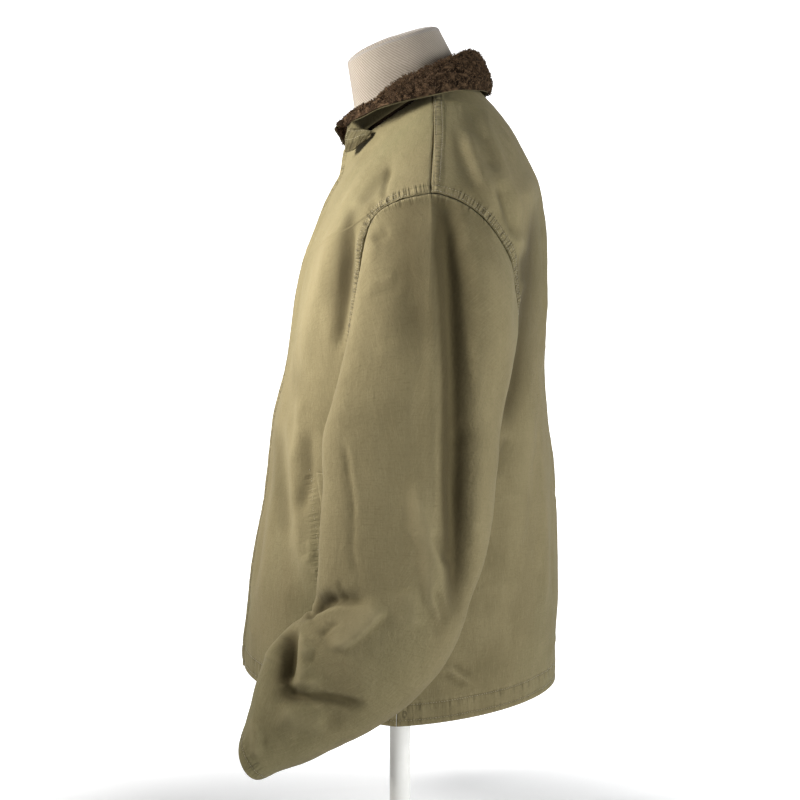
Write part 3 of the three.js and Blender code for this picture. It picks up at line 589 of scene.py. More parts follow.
def sleeve_frame(u, psi, side):
    """The left sleeve's surface with the folds of that side, and its normal."""
    u, psi = np.broadcast_arrays(np.asarray(u, float), np.asarray(psi, float))
    p = sleeve_base(u, psi)
    a = sleeve_base(np.minimum(0.999, u + 0.006), psi) - sleeve_base(np.maximum(0.001, u - 0.006), psi)
    mid = np.clip(u, 0.001, 0.999)
    b = sleeve_base(mid, psi + 0.03) - sleeve_base(mid, psi - 0.03)
    n = unit(np.cross(a, b))
    outer = np.clip(0.5 + 0.9 * np.cos(psi), 0, 1)
    edge = ease(u / 0.05) * ease((1 - u) / 0.04)
    return p + n * (fold_depth(SLEEVE_FOLDS[side], p) * outer * edge)[..., None], n


def collar_path(q, w):
    q, w = np.broadcast_arrays(np.asarray(q, float), np.asarray(w, float))

    def get(name):
        return column(COLLAR, "q", name, q)

    seam = body_point(np.ones_like(q), np.radians(get("round")), -0.4) + np.array([0, 0, 3.0])
    heart = xyz(get("xFold"), get("yFold"), get("zFold") - COLLAR_FOLD_R)
    edge = xyz(get("xEdge"), get("yEdge"), get("zEdge"))
    to = edge - heart
    out = unit(to * np.array([1, 1, 0.0]))
    up = np.array([0, 0, 1.0])
    turn = np.arctan2((to * out).sum(-1), to[..., 2]) - 0.1

    def bend(t):
        return heart - out * (COLLAR_FOLD_R * np.cos(t))[..., None] + up * (COLLAR_FOLD_R * np.sin(t))[..., None]

    a = np.clip(w / 0.3, 0, 1)[..., None]
    stand = seam * (1 - a) + bend(np.zeros_like(w)) * a
    fold = bend(np.clip((w - 0.3) / 0.22, 0, 1) * turn)
    t = np.clip((w - 0.52) / 0.48, 0, 1)[..., None]
    away = out * np.maximum(0, -np.cos(turn))[..., None] + up * np.sin(turn)[..., None]
    leaf = bend(turn) * (1 - t) + edge * t + away * (12 * t * (1 - t))
    return np.where((w <= 0.3)[..., None], stand, np.where((w <= 0.52)[..., None], fold, leaf))


def collar_frame(q, w):
    q, w = np.broadcast_arrays(np.asarray(q, float), np.asarray(w, float))
    a = collar_path(np.minimum(1, q + 0.01), w) - collar_path(np.maximum(-1, q - 0.01), w)
    b = collar_path(q, np.minimum(1, w + 0.012)) - collar_path(q, np.maximum(0, w - 0.012))
    return collar_path(q, w), unit(np.cross(a, b))


# ------------------------------------------------------------------ the cloth's detail
AROUND = np.linspace(0, 2 * math.pi, 181)
ARMHOLE_LINE = armhole_point(AROUND)
HEM_LINE = body_point(np.zeros(361), np.linspace(-math.pi, math.pi, 361))
SHOULDER_LINE = body_point(np.linspace(ARM_TOP, 1, 40), np.full(40, math.pi / 2))
SIDE_LINE = body_point(np.linspace(0, ARM_BOTTOM, 60), np.full(60, math.pi / 2))
CUFF_LINE = sleeve_frame(np.ones(121), np.linspace(0, 2 * math.pi, 121), 1)[0]


def mirrored(p, side):
    return p * np.array([side, 1.0, 1.0])


def pucker(run, seed, pitch):
    """Uneven gathers along a stitched line."""
    q = xyz(run, np.zeros_like(run), np.zeros_like(run))
    return 0.65 * noise(q, (pitch,) * 3, seed) + 0.45 * noise(q, (pitch * 2.6,) * 3, seed + 1)


def puff(p):
    """How far the front closure stands out between its buttons."""
    z = p[..., 2]
    heights = np.array([b[0] for b in BUTTONS][::-1] + [880.0], float)
    i = np.clip(np.searchsorted(heights, z) - 1, 0, len(heights) - 2)
    t = np.clip((z - heights[i]) / (heights[i + 1] - heights[i]), 0, 1)
    below = z < heights[0]
    t = np.where(below, np.clip((z - 255) / 80, 0, 1), t)
    wave = np.sin(np.pi * t) ** 1.4 * (0.75 + 0.25 * np.sin(z / 37.0))
    near = np.exp(-((np.abs(p[..., 0] + 6) / 42) ** 2))
    return PUFF * wave * near * ease((880 - z) / 30)


def pocket_edges(side):
    a = np.linspace(0, 1, 25)
    s = POCKET["sTop"] + (POCKET["sBottom"] - POCKET["sTop"]) * a
    y = POCKET["yTop"] + (POCKET["yBottom"] - POCKET["yTop"]) * a
    return [
        mirrored(body_point(s, phi_at(s, y + off - column(BODY, "s", "ySide", s))), side)
        for off in (-1.2, -10.0)
    ]


POCKET_LINES = {1: pocket_edges(1), -1: pocket_edges(-1)}


def body_detail(p, n, phi):
    """Height over the CAD's form at points of the body, how worn each is, and its gathers and painted shade and
    highlight for the colour.
    """
    side = np.where(phi >= 0, 1.0, -1.0)
    m = p * np.stack([side, np.ones_like(side), np.ones_like(side)], axis=-1)
    arm, arm_run = distance(m, ARMHOLE_LINE)
    hem, hem_run = distance(p, HEM_LINE)
    shoulder, shoulder_run = distance(m, SHOULDER_LINE)
    seam, seam_run = distance(m, SIDE_LINE)
    free = ease((arm - 1) / 16)
    h = 0.85 * noise(p, (34, 34, 80), 11) + 0.38 * noise(p, (16, 16, 30), 12) + 0.16 * noise(p, (7, 7, 10), 13)
    h = h * free * ease(hem / 14)
    # the puckered fall of the lower edge
    h += 1.1 * noise(p, (26, 26, 120), 14) * np.exp(-((hem / 60) ** 2)) * ease(hem / 10)
    out = n[..., 0] * side
    sideways = ease(out / 0.35)
    yl, zl = seen(m, 1)
    left = crease(yl, zl, BODY_CREASES_LEFT)
    right = crease(yl, zl, BODY_CREASES_RIGHT)
    # shallow creases only where the shoulder turns sharply into the side, ahead of the armhole
    turn = 1 - 0.85 * np.exp(-(((p[..., 2] - 783) / 15) ** 2)) * ease((-p[..., 1] - 12) / 20)
    h += np.where(phi >= 0, left, right) * sideways * ease((arm + 1) / 9) * ease((hem - 6) / 14) * turn
    # painted shade and highlight: the creases again, 4 mm further ahead, and the body's folds darken the colour in
    # troughs and lighten it on ridges
    shade = np.where(phi >= 0, crease(yl + 4, zl, BODY_CREASES_LEFT), crease(yl + 4, zl, BODY_CREASES_RIGHT)) * sideways
    shade = (shade + fold_depth(BODY_FOLDS, p + np.array([0, 5.0, 0]), phi < 0) * np.sin(phi) ** 2) * ease((hem - 6) / 14)
    across = p[..., 0]
    h += crease(across, p[..., 2], BACK_CREASES) * ease((n[..., 1] - 0.25) / 0.4) * ease(hem / 20)
    h += crease(across, p[..., 2], FRONT_CREASES) * ease((-n[..., 1] - 0.25) / 0.4) * ease(hem / 20)
    h += puff(p) * ease(-n[..., 1] / 0.3) * ease(hem / 12)
    # hem: a turned-up band with two rows of stitches
    gather = pucker(hem_run, 21, 8.0)
    h += 0.55 * (1 - ease((hem - HEM_BAND + 1.0) / 2.2))
    for at, deep in ((HEM_BAND - 2.0, 0.75), (HEM_LOW_STITCH, 0.55)):
        h -= deep * np.exp(-(((hem - at) / 1.5) ** 2))
        h += 0.5 * gather * np.exp(-(((hem - at) / 6.0) ** 2)) * ease(hem / 3)
    # armhole: the body is felled over the sleeve, double stitched and puckered
    gather = pucker(arm_run, 31, 5.5)
    h += 0.9 * (1 - ease((arm - ARMHOLE_BAND) / 1.6)) * ease((arm - 0.2) / 1.2)
    for at, deep in ((1.9, 0.45), (ARMHOLE_BAND - 1.3, 0.55)):
        h -= deep * np.exp(-(((arm - at) / 1.1) ** 2))
    h += 0.75 * gather * np.exp(-(((arm - 5.0) / 5.0) ** 2)) * ease(arm / 2.0)
    # shoulder seam: the back is felled over the front
    behind = ease((m[..., 1] - column(BODY, "s", "ySide", 0.93) + 0.6) / 1.4)
    high = ease((m[..., 2] - 806) / 8)
    gather = pucker(shoulder_run, 41, 8.0)
    h += 1.0 * behind * (1 - ease((shoulder - SHOULDER_BAND) / 1.6)) * high
    h -= 0.9 * (1 - behind) * np.exp(-((shoulder / 2.2) ** 2)) * high
    for at in (2.0, SHOULDER_BAND - 1.6):
        h -= 0.5 * behind * np.exp(-(((shoulder - at) / 1.2) ** 2)) * high
    h += 0.45 * gather * behind * np.exp(-(((shoulder - 5) / 5.0) ** 2)) * high
    # side seam
    low = ease((seam_run - 4) / 10) * ease((430 - seam_run) / 10)
    lap = ease((m[..., 1] - p[..., 1] * 0 - column(BODY, "s", "ySide", 0.3)) / 1.4)
    h += 0.7 * lap * (1 - ease((seam - 9) / 1.5)) * low
    h += 0.4 * pucker(seam_run, 51, 9.0) * np.exp(-((seam / 8) ** 2)) * low
    # pockets: the mouth's edge stands over the opening, a row of stitches ahead of it
    pocket_run, pocket_pull = np.zeros_like(h), np.zeros_like(h)
    for way in (1, -1):
        mouth, stitched = POCKET_LINES[way]
        d, run = distance(p, mouth)
        ahead = ease((stitched[:, 1].mean() - p[..., 1]) / 4)
        h += 1.0 * np.exp(-((d / 5.5) ** 2)) * (1 - ahead) * (d < 16)
        d2, run2 = distance(p, stitched)
        h -= 0.6 * np.exp(-((d2 / 1.4) ** 2))
        h += 0.45 * pucker(run2, 61, 7.0) * np.exp(-(((d2) / 5.0) ** 2))
        w = np.exp(-(((d2 - 3) / 5.0) ** 2))
        pocket_run = np.where(w > pocket_pull, run2, pocket_run)
        pocket_pull = np.maximum(pocket_pull, w)
        # the mouth gapes: a narrow shadow line behind the edge
        h -= 2.4 * np.exp(-(((d - 1.2) / 1.5) ** 2)) * (1 - ahead)
    wear_and_painted_shade = np.exp(-((hem / 3.0) ** 2)) + 0.7 * np.exp(-(((arm - 4) / 5) ** 2)) + 0.6 * behind * high * np.exp(-((shoulder / 9) ** 2))
    wear_and_painted_shade += 0.5 * np.exp(-(((hem - HEM_BAND) / 3) ** 2))
    rows = np.exp(-(((arm - ARMHOLE_BAND + 1.3) / 1.0) ** 2)) + 0.8 * np.exp(-(((arm - 1.9) / 0.9) ** 2))
    rows = rows + np.exp(-(((hem - HEM_BAND + 2.0) / 1.1) ** 2)) + 0.7 * np.exp(-(((hem - HEM_LOW_STITCH) / 1.0) ** 2))
    rows = rows + behind * high * (np.exp(-(((shoulder - 2.0) / 0.9) ** 2)) + np.exp(-(((shoulder - SHOULDER_BAND + 1.6) / 0.9) ** 2)))
    # the colour is darker along the stitch rows
    shade = shade - 4.0 * np.clip(rows, 0, 1)
    # uneven gathers beside the stitches, painted as shade and highlight in the colour and bumped: where along the seam,
    # in their own pitch, and how strong
    run = arm_run / 5.2
    pull = np.exp(-(((arm - 5.2) / 5.2) ** 2)) * ease(arm / 1.2)
    for r, w in (
        (hem_run / 8.5 + 300, 0.5 * np.exp(-(((hem - 21) / 5.5) ** 2)) + 0.4 * np.exp(-(((hem - 6) / 5.5) ** 2))),
        (shoulder_run / 6.5 + 600, 0.9 * behind * high * np.exp(-(((shoulder - 5.5) / 5.0) ** 2))),
        (np.where(phi >= 0, 900.0, 1200.0) + pocket_run / 6.5, 0.35 * pocket_pull),
        (seam_run / 9 + 1500, 0.5 * lap * low * np.exp(-(((seam - 5) / 5) ** 2))),
    ):
        more = w > pull
        run, pull = np.where(more, r, run), np.where(more, w, pull)
    return h, wear_and_painted_shade, np.stack([run, pull, np.clip(shade / 7, -1, 1)], axis=-1)


def body_surface(s, phi, out=0.0, detail=True):
    s, phi = np.broadcast_arrays(np.asarray(s, float), np.asarray(phi, float))
    p, n = body_point(s, phi), body_normal(s, phi)
    h, wear_and_painted_shade, gather_and_crease_shade = body_detail(p, n, phi)
    return p + n * (h + out)[..., None], n, np.concatenate([wear_and_painted_shade[..., None], gather_and_crease_shade], axis=-1)


def sleeve_surface(u, psi, side, out=0.0):
    p, n = sleeve_frame(u, psi, side)
    u, psi = np.broadcast_arrays(np.asarray(u, float), np.asarray(psi, float))
    cuff, cuff_run = distance(p, CUFF_LINE)
    arm, arm_run = distance(p, ARMHOLE_LINE)
    seed = 70 if side > 0 else 80
    h = 0.8 * noise(p, (30, 34, 74), seed + 1) + 0.36 * noise(p, (15, 16, 28), seed + 2) + 0.16 * noise(p, (7, 7, 10), seed + 3)
    free = ease(arm / 16) * ease(cuff / 10)
    h = h * free
    y, z = seen(p, 1)
    rows = SLEEVE_CREASES_LEFT if side > 0 else SLEEVE_CREASES_RIGHT
    h += crease(y, z, rows) * ease((n[..., 0] + 0.05) / 0.4) * ease(arm / 10) * ease((cuff - 2) / 8)
    # painted shade and highlight: the creases and folds again, a few mm further ahead and up, darken troughs and
    # lighten ridges
    shade = crease(y + 4, z + 1.5, rows) + 0.8 * fold_depth(SLEEVE_FOLDS[side], p + np.array([0, 5.0, 2.0]))
    shade = shade * ease((n[..., 0] + 0.05) / 0.4) * ease((cuff - 2) / 8)
    # the hidden inner face, seen from the body's side, has softer ones
    h += 0.6 * crease(y + 4, z + 6, SLEEVE_CREASES_RIGHT) * ease((-n[..., 0] - 0.1) / 0.4) * ease(arm / 20) * ease((cuff - 2) / 8)
    # tucks at the crook of the elbow, round the front
    bend = np.exp(-(((u - (CAP + 0.76 * 0.53)) / 0.09) ** 2))
    ahead = np.clip(-np.sin(psi), 0, 1) ** 2
    h += 0.9 * np.sin((u - 0.6) * 95 + 1.2 * np.sin(2 * psi)) * bend * ahead
    # cuff: a turned-up hem
    gather = pucker(cuff_run, seed + 5, 8.0)
    h += 0.6 * (1 - ease((cuff - CUFF_BAND) / 1.8))
    h -= 0.75 * np.exp(-(((cuff - CUFF_BAND + 1.8) / 1.4) ** 2))
    h += 0.3 * gather * np.exp(-(((cuff - CUFF_BAND) / 6.0) ** 2)) * ease(cuff / 3)
    # the cloth dips a little into the armhole seam
    h -= 0.5 * np.exp(-((arm / 2.4) ** 2))
    h += 0.35 * pucker(arm_run, seed + 7, 5.5) * np.exp(-(((arm - 4) / 4.0) ** 2))
    # the seam under the arm
    under = np.abs(np.angle(np.exp(1j * (psi - math.pi)))) * 62
    h += 0.6 * np.exp(-((under / 5.0) ** 4)) * ease(arm / 12) - 0.5 * np.exp(-(((under - 5) / 1.4) ** 2)) * ease(arm / 12)
    wear_and_painted_shade = np.exp(-((cuff / 3.0) ** 2)) + 0.5 * np.exp(-(((cuff - CUFF_BAND) / 3) ** 2)) + 0.3 * np.exp(-((arm / 4) ** 2))
    # gathers at the cuff and the armhole, painted as shade and highlight in the colour
    run, pull = cuff_run / 8 + 20, 0.45 * np.exp(-(((cuff - CUFF_BAND + 1) / 6.5) ** 2)) * ease(cuff / 2)
    w = 0.55 * np.exp(-(((arm - 2) / 5) ** 2))
    run, pull = np.where(w > pull, arm_run / 5.2 + 400, run), np.maximum(w, pull)
    # the colour is darker along the cuff's stitch row
    shade = shade - 5.0 * np.exp(-(((cuff - CUFF_BAND + 1.8) / 1.1) ** 2))
    marks = np.stack([wear_and_painted_shade, run, pull, np.clip(shade / 9, -1, 1)], axis=-1)
    return mirrored(p + n * (h + out)[..., None], side), mirrored(n, side), marks


# ------------------------------------------------------------------ meshes
def make_object(name, verts, faces, uv=None, wear_and_painted_shade=None, smooth=True):
    me = bpy.data.meshes.new(name)
    me.from_pydata((np.asarray(verts) * MM).tolist(), [], faces if isinstance(faces, list) else faces.tolist())
    me.update()
    if smooth:
        me.shade_smooth()
    loops = np.empty(len(me.loops), np.int32)
    me.loops.foreach_get("vertex_index", loops)
    if uv is not None:
        layer = me.uv_layers.new(name="cloth")
        layer.data.foreach_set("uv", np.asarray(uv, np.float32)[loops].ravel())
    if wear_and_painted_shade is not None:
        wear_and_painted_shade = np.asarray(wear_and_painted_shade, np.float32)
        if wear_and_painted_shade.ndim == 2:
            a = me.attributes.new("gather_and_crease_shade", "FLOAT_VECTOR", "POINT")
            a.data.foreach_set("vector", wear_and_painted_shade[:, 1:].ravel())
            wear_and_painted_shade = wear_and_painted_shade[:, 0]
        a = me.attributes.new("wear_and_painted_shade", "FLOAT", "POINT")
        a.data.foreach_set("value", np.ascontiguousarray(wear_and_painted_shade))
    ob = bpy.data.objects.new(name, me)
    bpy.context.scene.collection.objects.link(ob)
    return ob


def grid_faces(rows, cols, closed, start=0, flip=False):
    i = np.arange(rows - 1)[:, None]
    j = np.arange(cols if closed else cols - 1)[None, :]
    k = (j + 1) % cols
    a, b = start + i * cols + j, start + i * cols + k
    c, d = start + (i + 1) * cols + k, start + (i + 1) * cols + j
    f = np.stack(np.broadcast_arrays(a, b, c, d), axis=-1).reshape(-1, 4)
    return f[:, ::-1] if flip else f


def cloth_shell(name, outer, normal, thick, closed=False, wear_and_painted_shade=None, uv_at=(0.0, 0.0), round_edges=True, flat_back=False):
    """A wall of cloth with rounded edges. outer and normal are grids of points, its rows open at both ends."""
    rows, cols = outer.shape[:2]
    step_r = np.linalg.norm(np.diff(outer, axis=0), axis=-1)
    step_c = np.linalg.norm(np.diff(outer, axis=1), axis=-1)
    run_r = np.concatenate([np.zeros((1, cols)), np.cumsum(step_r, 0)])
    run_c = np.concatenate([np.zeros((rows, 1)), np.cumsum(step_c, 1)], axis=1)
    edge = np.minimum(run_r, run_r[-1:] - run_r)
    if not closed:
        edge = np.minimum(edge, np.minimum(run_c, run_c[:, -1:] - run_c))
    thick = np.broadcast_to(np.asarray(thick, float), (rows, cols))
    r = np.minimum(EDGE_ROUND, thick / 2 - 0.04)
    inset = r * (1 - np.sqrt(np.maximum(0, 1 - (1 - np.clip(edge / r, 0, 1)) ** 2))) if round_edges else np.zeros_like(edge)
    front = outer - normal * inset[..., None]
    back = outer - normal * (thick - (0 if flat_back else 1) * inset)[..., None]
    verts = np.concatenate([front.reshape(-1, 3), back.reshape(-1, 3)])
    n = rows * cols
    faces = [grid_faces(rows, cols, closed), grid_faces(rows, cols, closed, n, True)]
    j = np.arange(cols if closed else cols - 1)
    k = (j + 1) % cols
    faces.append(np.stack([j, j + n, k + n, k], axis=-1))
    top = (rows - 1) * cols
    faces.append(np.stack([top + k, top + k + n, top + j + n, top + j], axis=-1))
    if not closed:
        i = np.arange(rows - 1) * cols
        faces.append(np.stack([i + cols, i + cols + n, i + n, i], axis=-1))
        e = i + cols - 1
        faces.append(np.stack([e, e + n, e + cols + n, e + cols], axis=-1))
    faces = np.concatenate(faces)
    # outward winding
    v = verts[faces]
    volume = (v[:, 0] * np.cross(v[:, 1], v[:, 2])).sum() + (v[:, 0] * np.cross(v[:, 2], v[:, 3])).sum()
    if volume < 0:
        faces = faces[:, ::-1]
    mid = cols // 2
    u = run_c - run_c[:, mid : mid + 1] + uv_at[0]
    vv = np.repeat(run_r.mean(1)[:, None], cols, 1) + uv_at[1]
    uv = np.stack([u, vv], axis=-1).reshape(-1, 2) * MM
    uv = np.concatenate([uv, uv])
    if wear_and_painted_shade is None:
        wr = None
    elif wear_and_painted_shade.ndim == 3:
        wr = np.concatenate([wear_and_painted_shade.reshape(-1, 4)] * 2)
    else:
        wr = np.concatenate([wear_and_painted_shade.ravel(), wear_and_painted_shade.ravel() * 0.5])
    return make_object(name, verts, faces, uv, wr)


def joined(parts):
    """Vertices and faces of several small pieces as one."""
    verts, faces, base = [], [], 0
    for v, f in parts:
        verts.append(v)
        faces += (np.asarray(f) + base).tolist() if not isinstance(f, list) else [[i + base for i in q] for q in f]
        base += len(v)
    return np.concatenate(verts), faces


def along(points, normals, pitch, offset=0.0):
    """Places every pitch along a line: where, the way on, and the normal."""
    step = np.linalg.norm(np.diff(points, axis=0), axis=1)
    run = np.concatenate([[0], np.cumsum(step)])
    at = np.arange(offset + pitch / 2, run[-1], pitch)
    p = np.stack([np.interp(at, run, points[:, k]) for k in range(3)], axis=1)
    n = unit(np.stack([np.interp(at, run, normals[:, k]) for k in range(3)], axis=1))
    q = np.stack([np.interp(np.minimum(at + 0.6, run[-1]), run, points[:, k]) for k in range(3)], axis=1)
    b = np.stack([np.interp(np.maximum(at - 0.6, 0), run, points[:, k]) for k in range(3)], axis=1)
    return p, unit(q - b), n


def stitches(lines, pitch=3.1, long=2.2, thread=0.5, seed=5):
    """Rows of lockstitch: each a short rounded thread that dips into the cloth at both ends."""
    rng = np.random.default_rng(seed)
    verts, faces, base = [], [], 0
    for points, normals in lines:
        p, t, n = along(points, normals, pitch)
        if not len(p):
            continue
        b = unit(np.cross(t, n))
        wob = rng.uniform(-0.12, 0.12, (len(p), 1))
        p = p + b * wob
        rings = []
        for share, up, r in ((-0.5, -0.25, 0.45), (-0.3, 0.16, 1.0), (0.3, 0.16, 1.0), (0.5, -0.25, 0.45)):
            centre = p + t * (share * long) + n * up
            ring = []
            for a in range(4):
                c, s = math.cos(a * math.pi / 2 + math.pi / 4), math.sin(a * math.pi / 2 + math.pi / 4)
                ring.append(centre + (b * c + n * s) * (thread / 2 * 1.3 * r))
            rings.append(np.stack(ring, axis=1))
        v = np.stack(rings, axis=1).reshape(-1, 3)  # per stitch: 4 rings of 4
        f = []
        for k in range(3):
            for a in range(4):
                c = (a + 1) % 4
                f.append([k * 4 + a, k * 4 + c, (k + 1) * 4 + c, (k + 1) * 4 + a])
        f.append([0, 3, 2, 1])
        f.append([12, 13, 14, 15])
        f = (np.array(f)[None] + (np.arange(len(p)) * 16)[:, None, None]).reshape(-1, 4)
        verts.append(v)
        faces.append(f + base)
        base += len(v)
    return np.concatenate(verts), np.concatenate(faces)


def attach(ob, slot_name, *nodes):
    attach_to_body(ob, "root")
    if nodes:
        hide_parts(*nodes)
    return ob


# ------------------------------------------------------------------ materials
def nodes_of(name, rough, sheen=0.0, sheen_rough=0.5, spec=0.5, tint=None):
    m = bpy.data.materials.new(name)
    m.use_nodes = True
    nt = m.node_tree
    b = nt.nodes["Principled BSDF"]
    b.inputs["Roughness"].default_value = rough
    b.inputs["Sheen Weight"].default_value = sheen
    b.inputs["Sheen Roughness"].default_value = sheen_rough
    if tint:
        b.inputs["Sheen Tint"].default_value = (*tint, 1)
    b.inputs["Specular IOR Level"].default_value = spec
    return m, nt, b


def add_node(nt, kind, **values):
    n = nt.nodes.new(kind)
    for k, v in values.items():
        if k in ("operation", "blend_type", "data_type", "noise_dimensions", "wave_type", "bands_direction", "wave_profile", "feature", "attribute_name", "interpolation_type", "uv_map", "distance", "vector_type"):
            setattr(n, k, v)
        else:
            n.inputs[k.replace("_", " ")].default_value = v
    return n


def mix_colour(nt, a, b, factor, kind="MIX"):
    n = nt.nodes.new("ShaderNodeMix")
    n.data_type = "RGBA"
    n.blend_type = kind
    n.clamp_factor = True
    for socket, value in ((n.inputs[6], a), (n.inputs[7], b)):
        if isinstance(value, tuple):
            socket.default_value = (*value, 1) if len(value) == 3 else value
        else:
            nt.links.new(value, socket)
    if isinstance(factor, (int, float)):
        n.inputs[0].default_value = factor
    else:
        nt.links.new(factor, n.inputs[0])
    return n.outputs[2]


def maths(nt, operation, a, b=None, c=None, clamp=False):
    n = nt.nodes.new("ShaderNodeMath")
    n.operation = operation
    n.use_clamp = clamp
    for k, v in enumerate((a, b, c)):
        if v is None:
            continue
        if isinstance(v, (int, float)):
            n.inputs[k].default_value = v
        else:
            nt.links.new(v, n.inputs[k])
    return n.outputs[0]


def scaled(nt, vector, scale, turn=(0, 0, 0)):
    n = nt.nodes.new("ShaderNodeMapping")
    nt.links.new(vector, n.inputs["Vector"])
    n.inputs["Scale"].default_value = scale
    n.inputs["Rotation"].default_value = turn
    return n.outputs[0]


def noise_at(nt, vector, scale, detail=3.0, rough=0.5, distortion=0.0):
    n = nt.nodes.new("ShaderNodeTexNoise")
    n.inputs["Scale"].default_value = scale
    n.inputs["Detail"].default_value = detail
    n.inputs["Roughness"].default_value = rough
    n.inputs["Distortion"].default_value = distortion
    nt.links.new(vector, n.inputs["Vector"])
    return n.outputs["Fac"]


def ramp(nt, value, low, high, clamp=True):
    n = nt.nodes.new("ShaderNodeMapRange")
    n.clamp = clamp
    n.inputs["From Min"].default_value = low
    n.inputs["From Max"].default_value = high
    nt.links.new(value, n.inputs["Value"])
    return n.outputs["Result"]


def bump(nt, bsdf, layers):
    """layers: (height socket, distance in metres, strength), from the coarsest."""
    last = None
    for height, dist, strength in layers:
        n = nt.nodes.new("ShaderNodeBump")
        n.inputs["Distance"].default_value = dist
        n.inputs["Strength"].default_value = strength
        nt.links.new(height, n.inputs["Height"])
        if last is not None:
            nt.links.new(last, n.inputs["Normal"])
        last = n.outputs["Normal"]
    nt.links.new(last, bsdf.inputs["Normal"])


def wave(nt, vector, scale, direction="X", profile="SIN", distortion=0.0, detail_scale=1.0):
    n = nt.nodes.new("ShaderNodeTexWave")
    n.wave_type = "BANDS"
    n.bands_direction = direction
    n.wave_profile = profile
    n.inputs["Scale"].default_value = scale
    n.inputs["Distortion"].default_value = distortion
    n.inputs["Detail"].default_value = 1.0
    n.inputs["Detail Scale"].default_value = detail_scale
    nt.links.new(vector, n.inputs["Vector"])
    return n.outputs["Fac"]


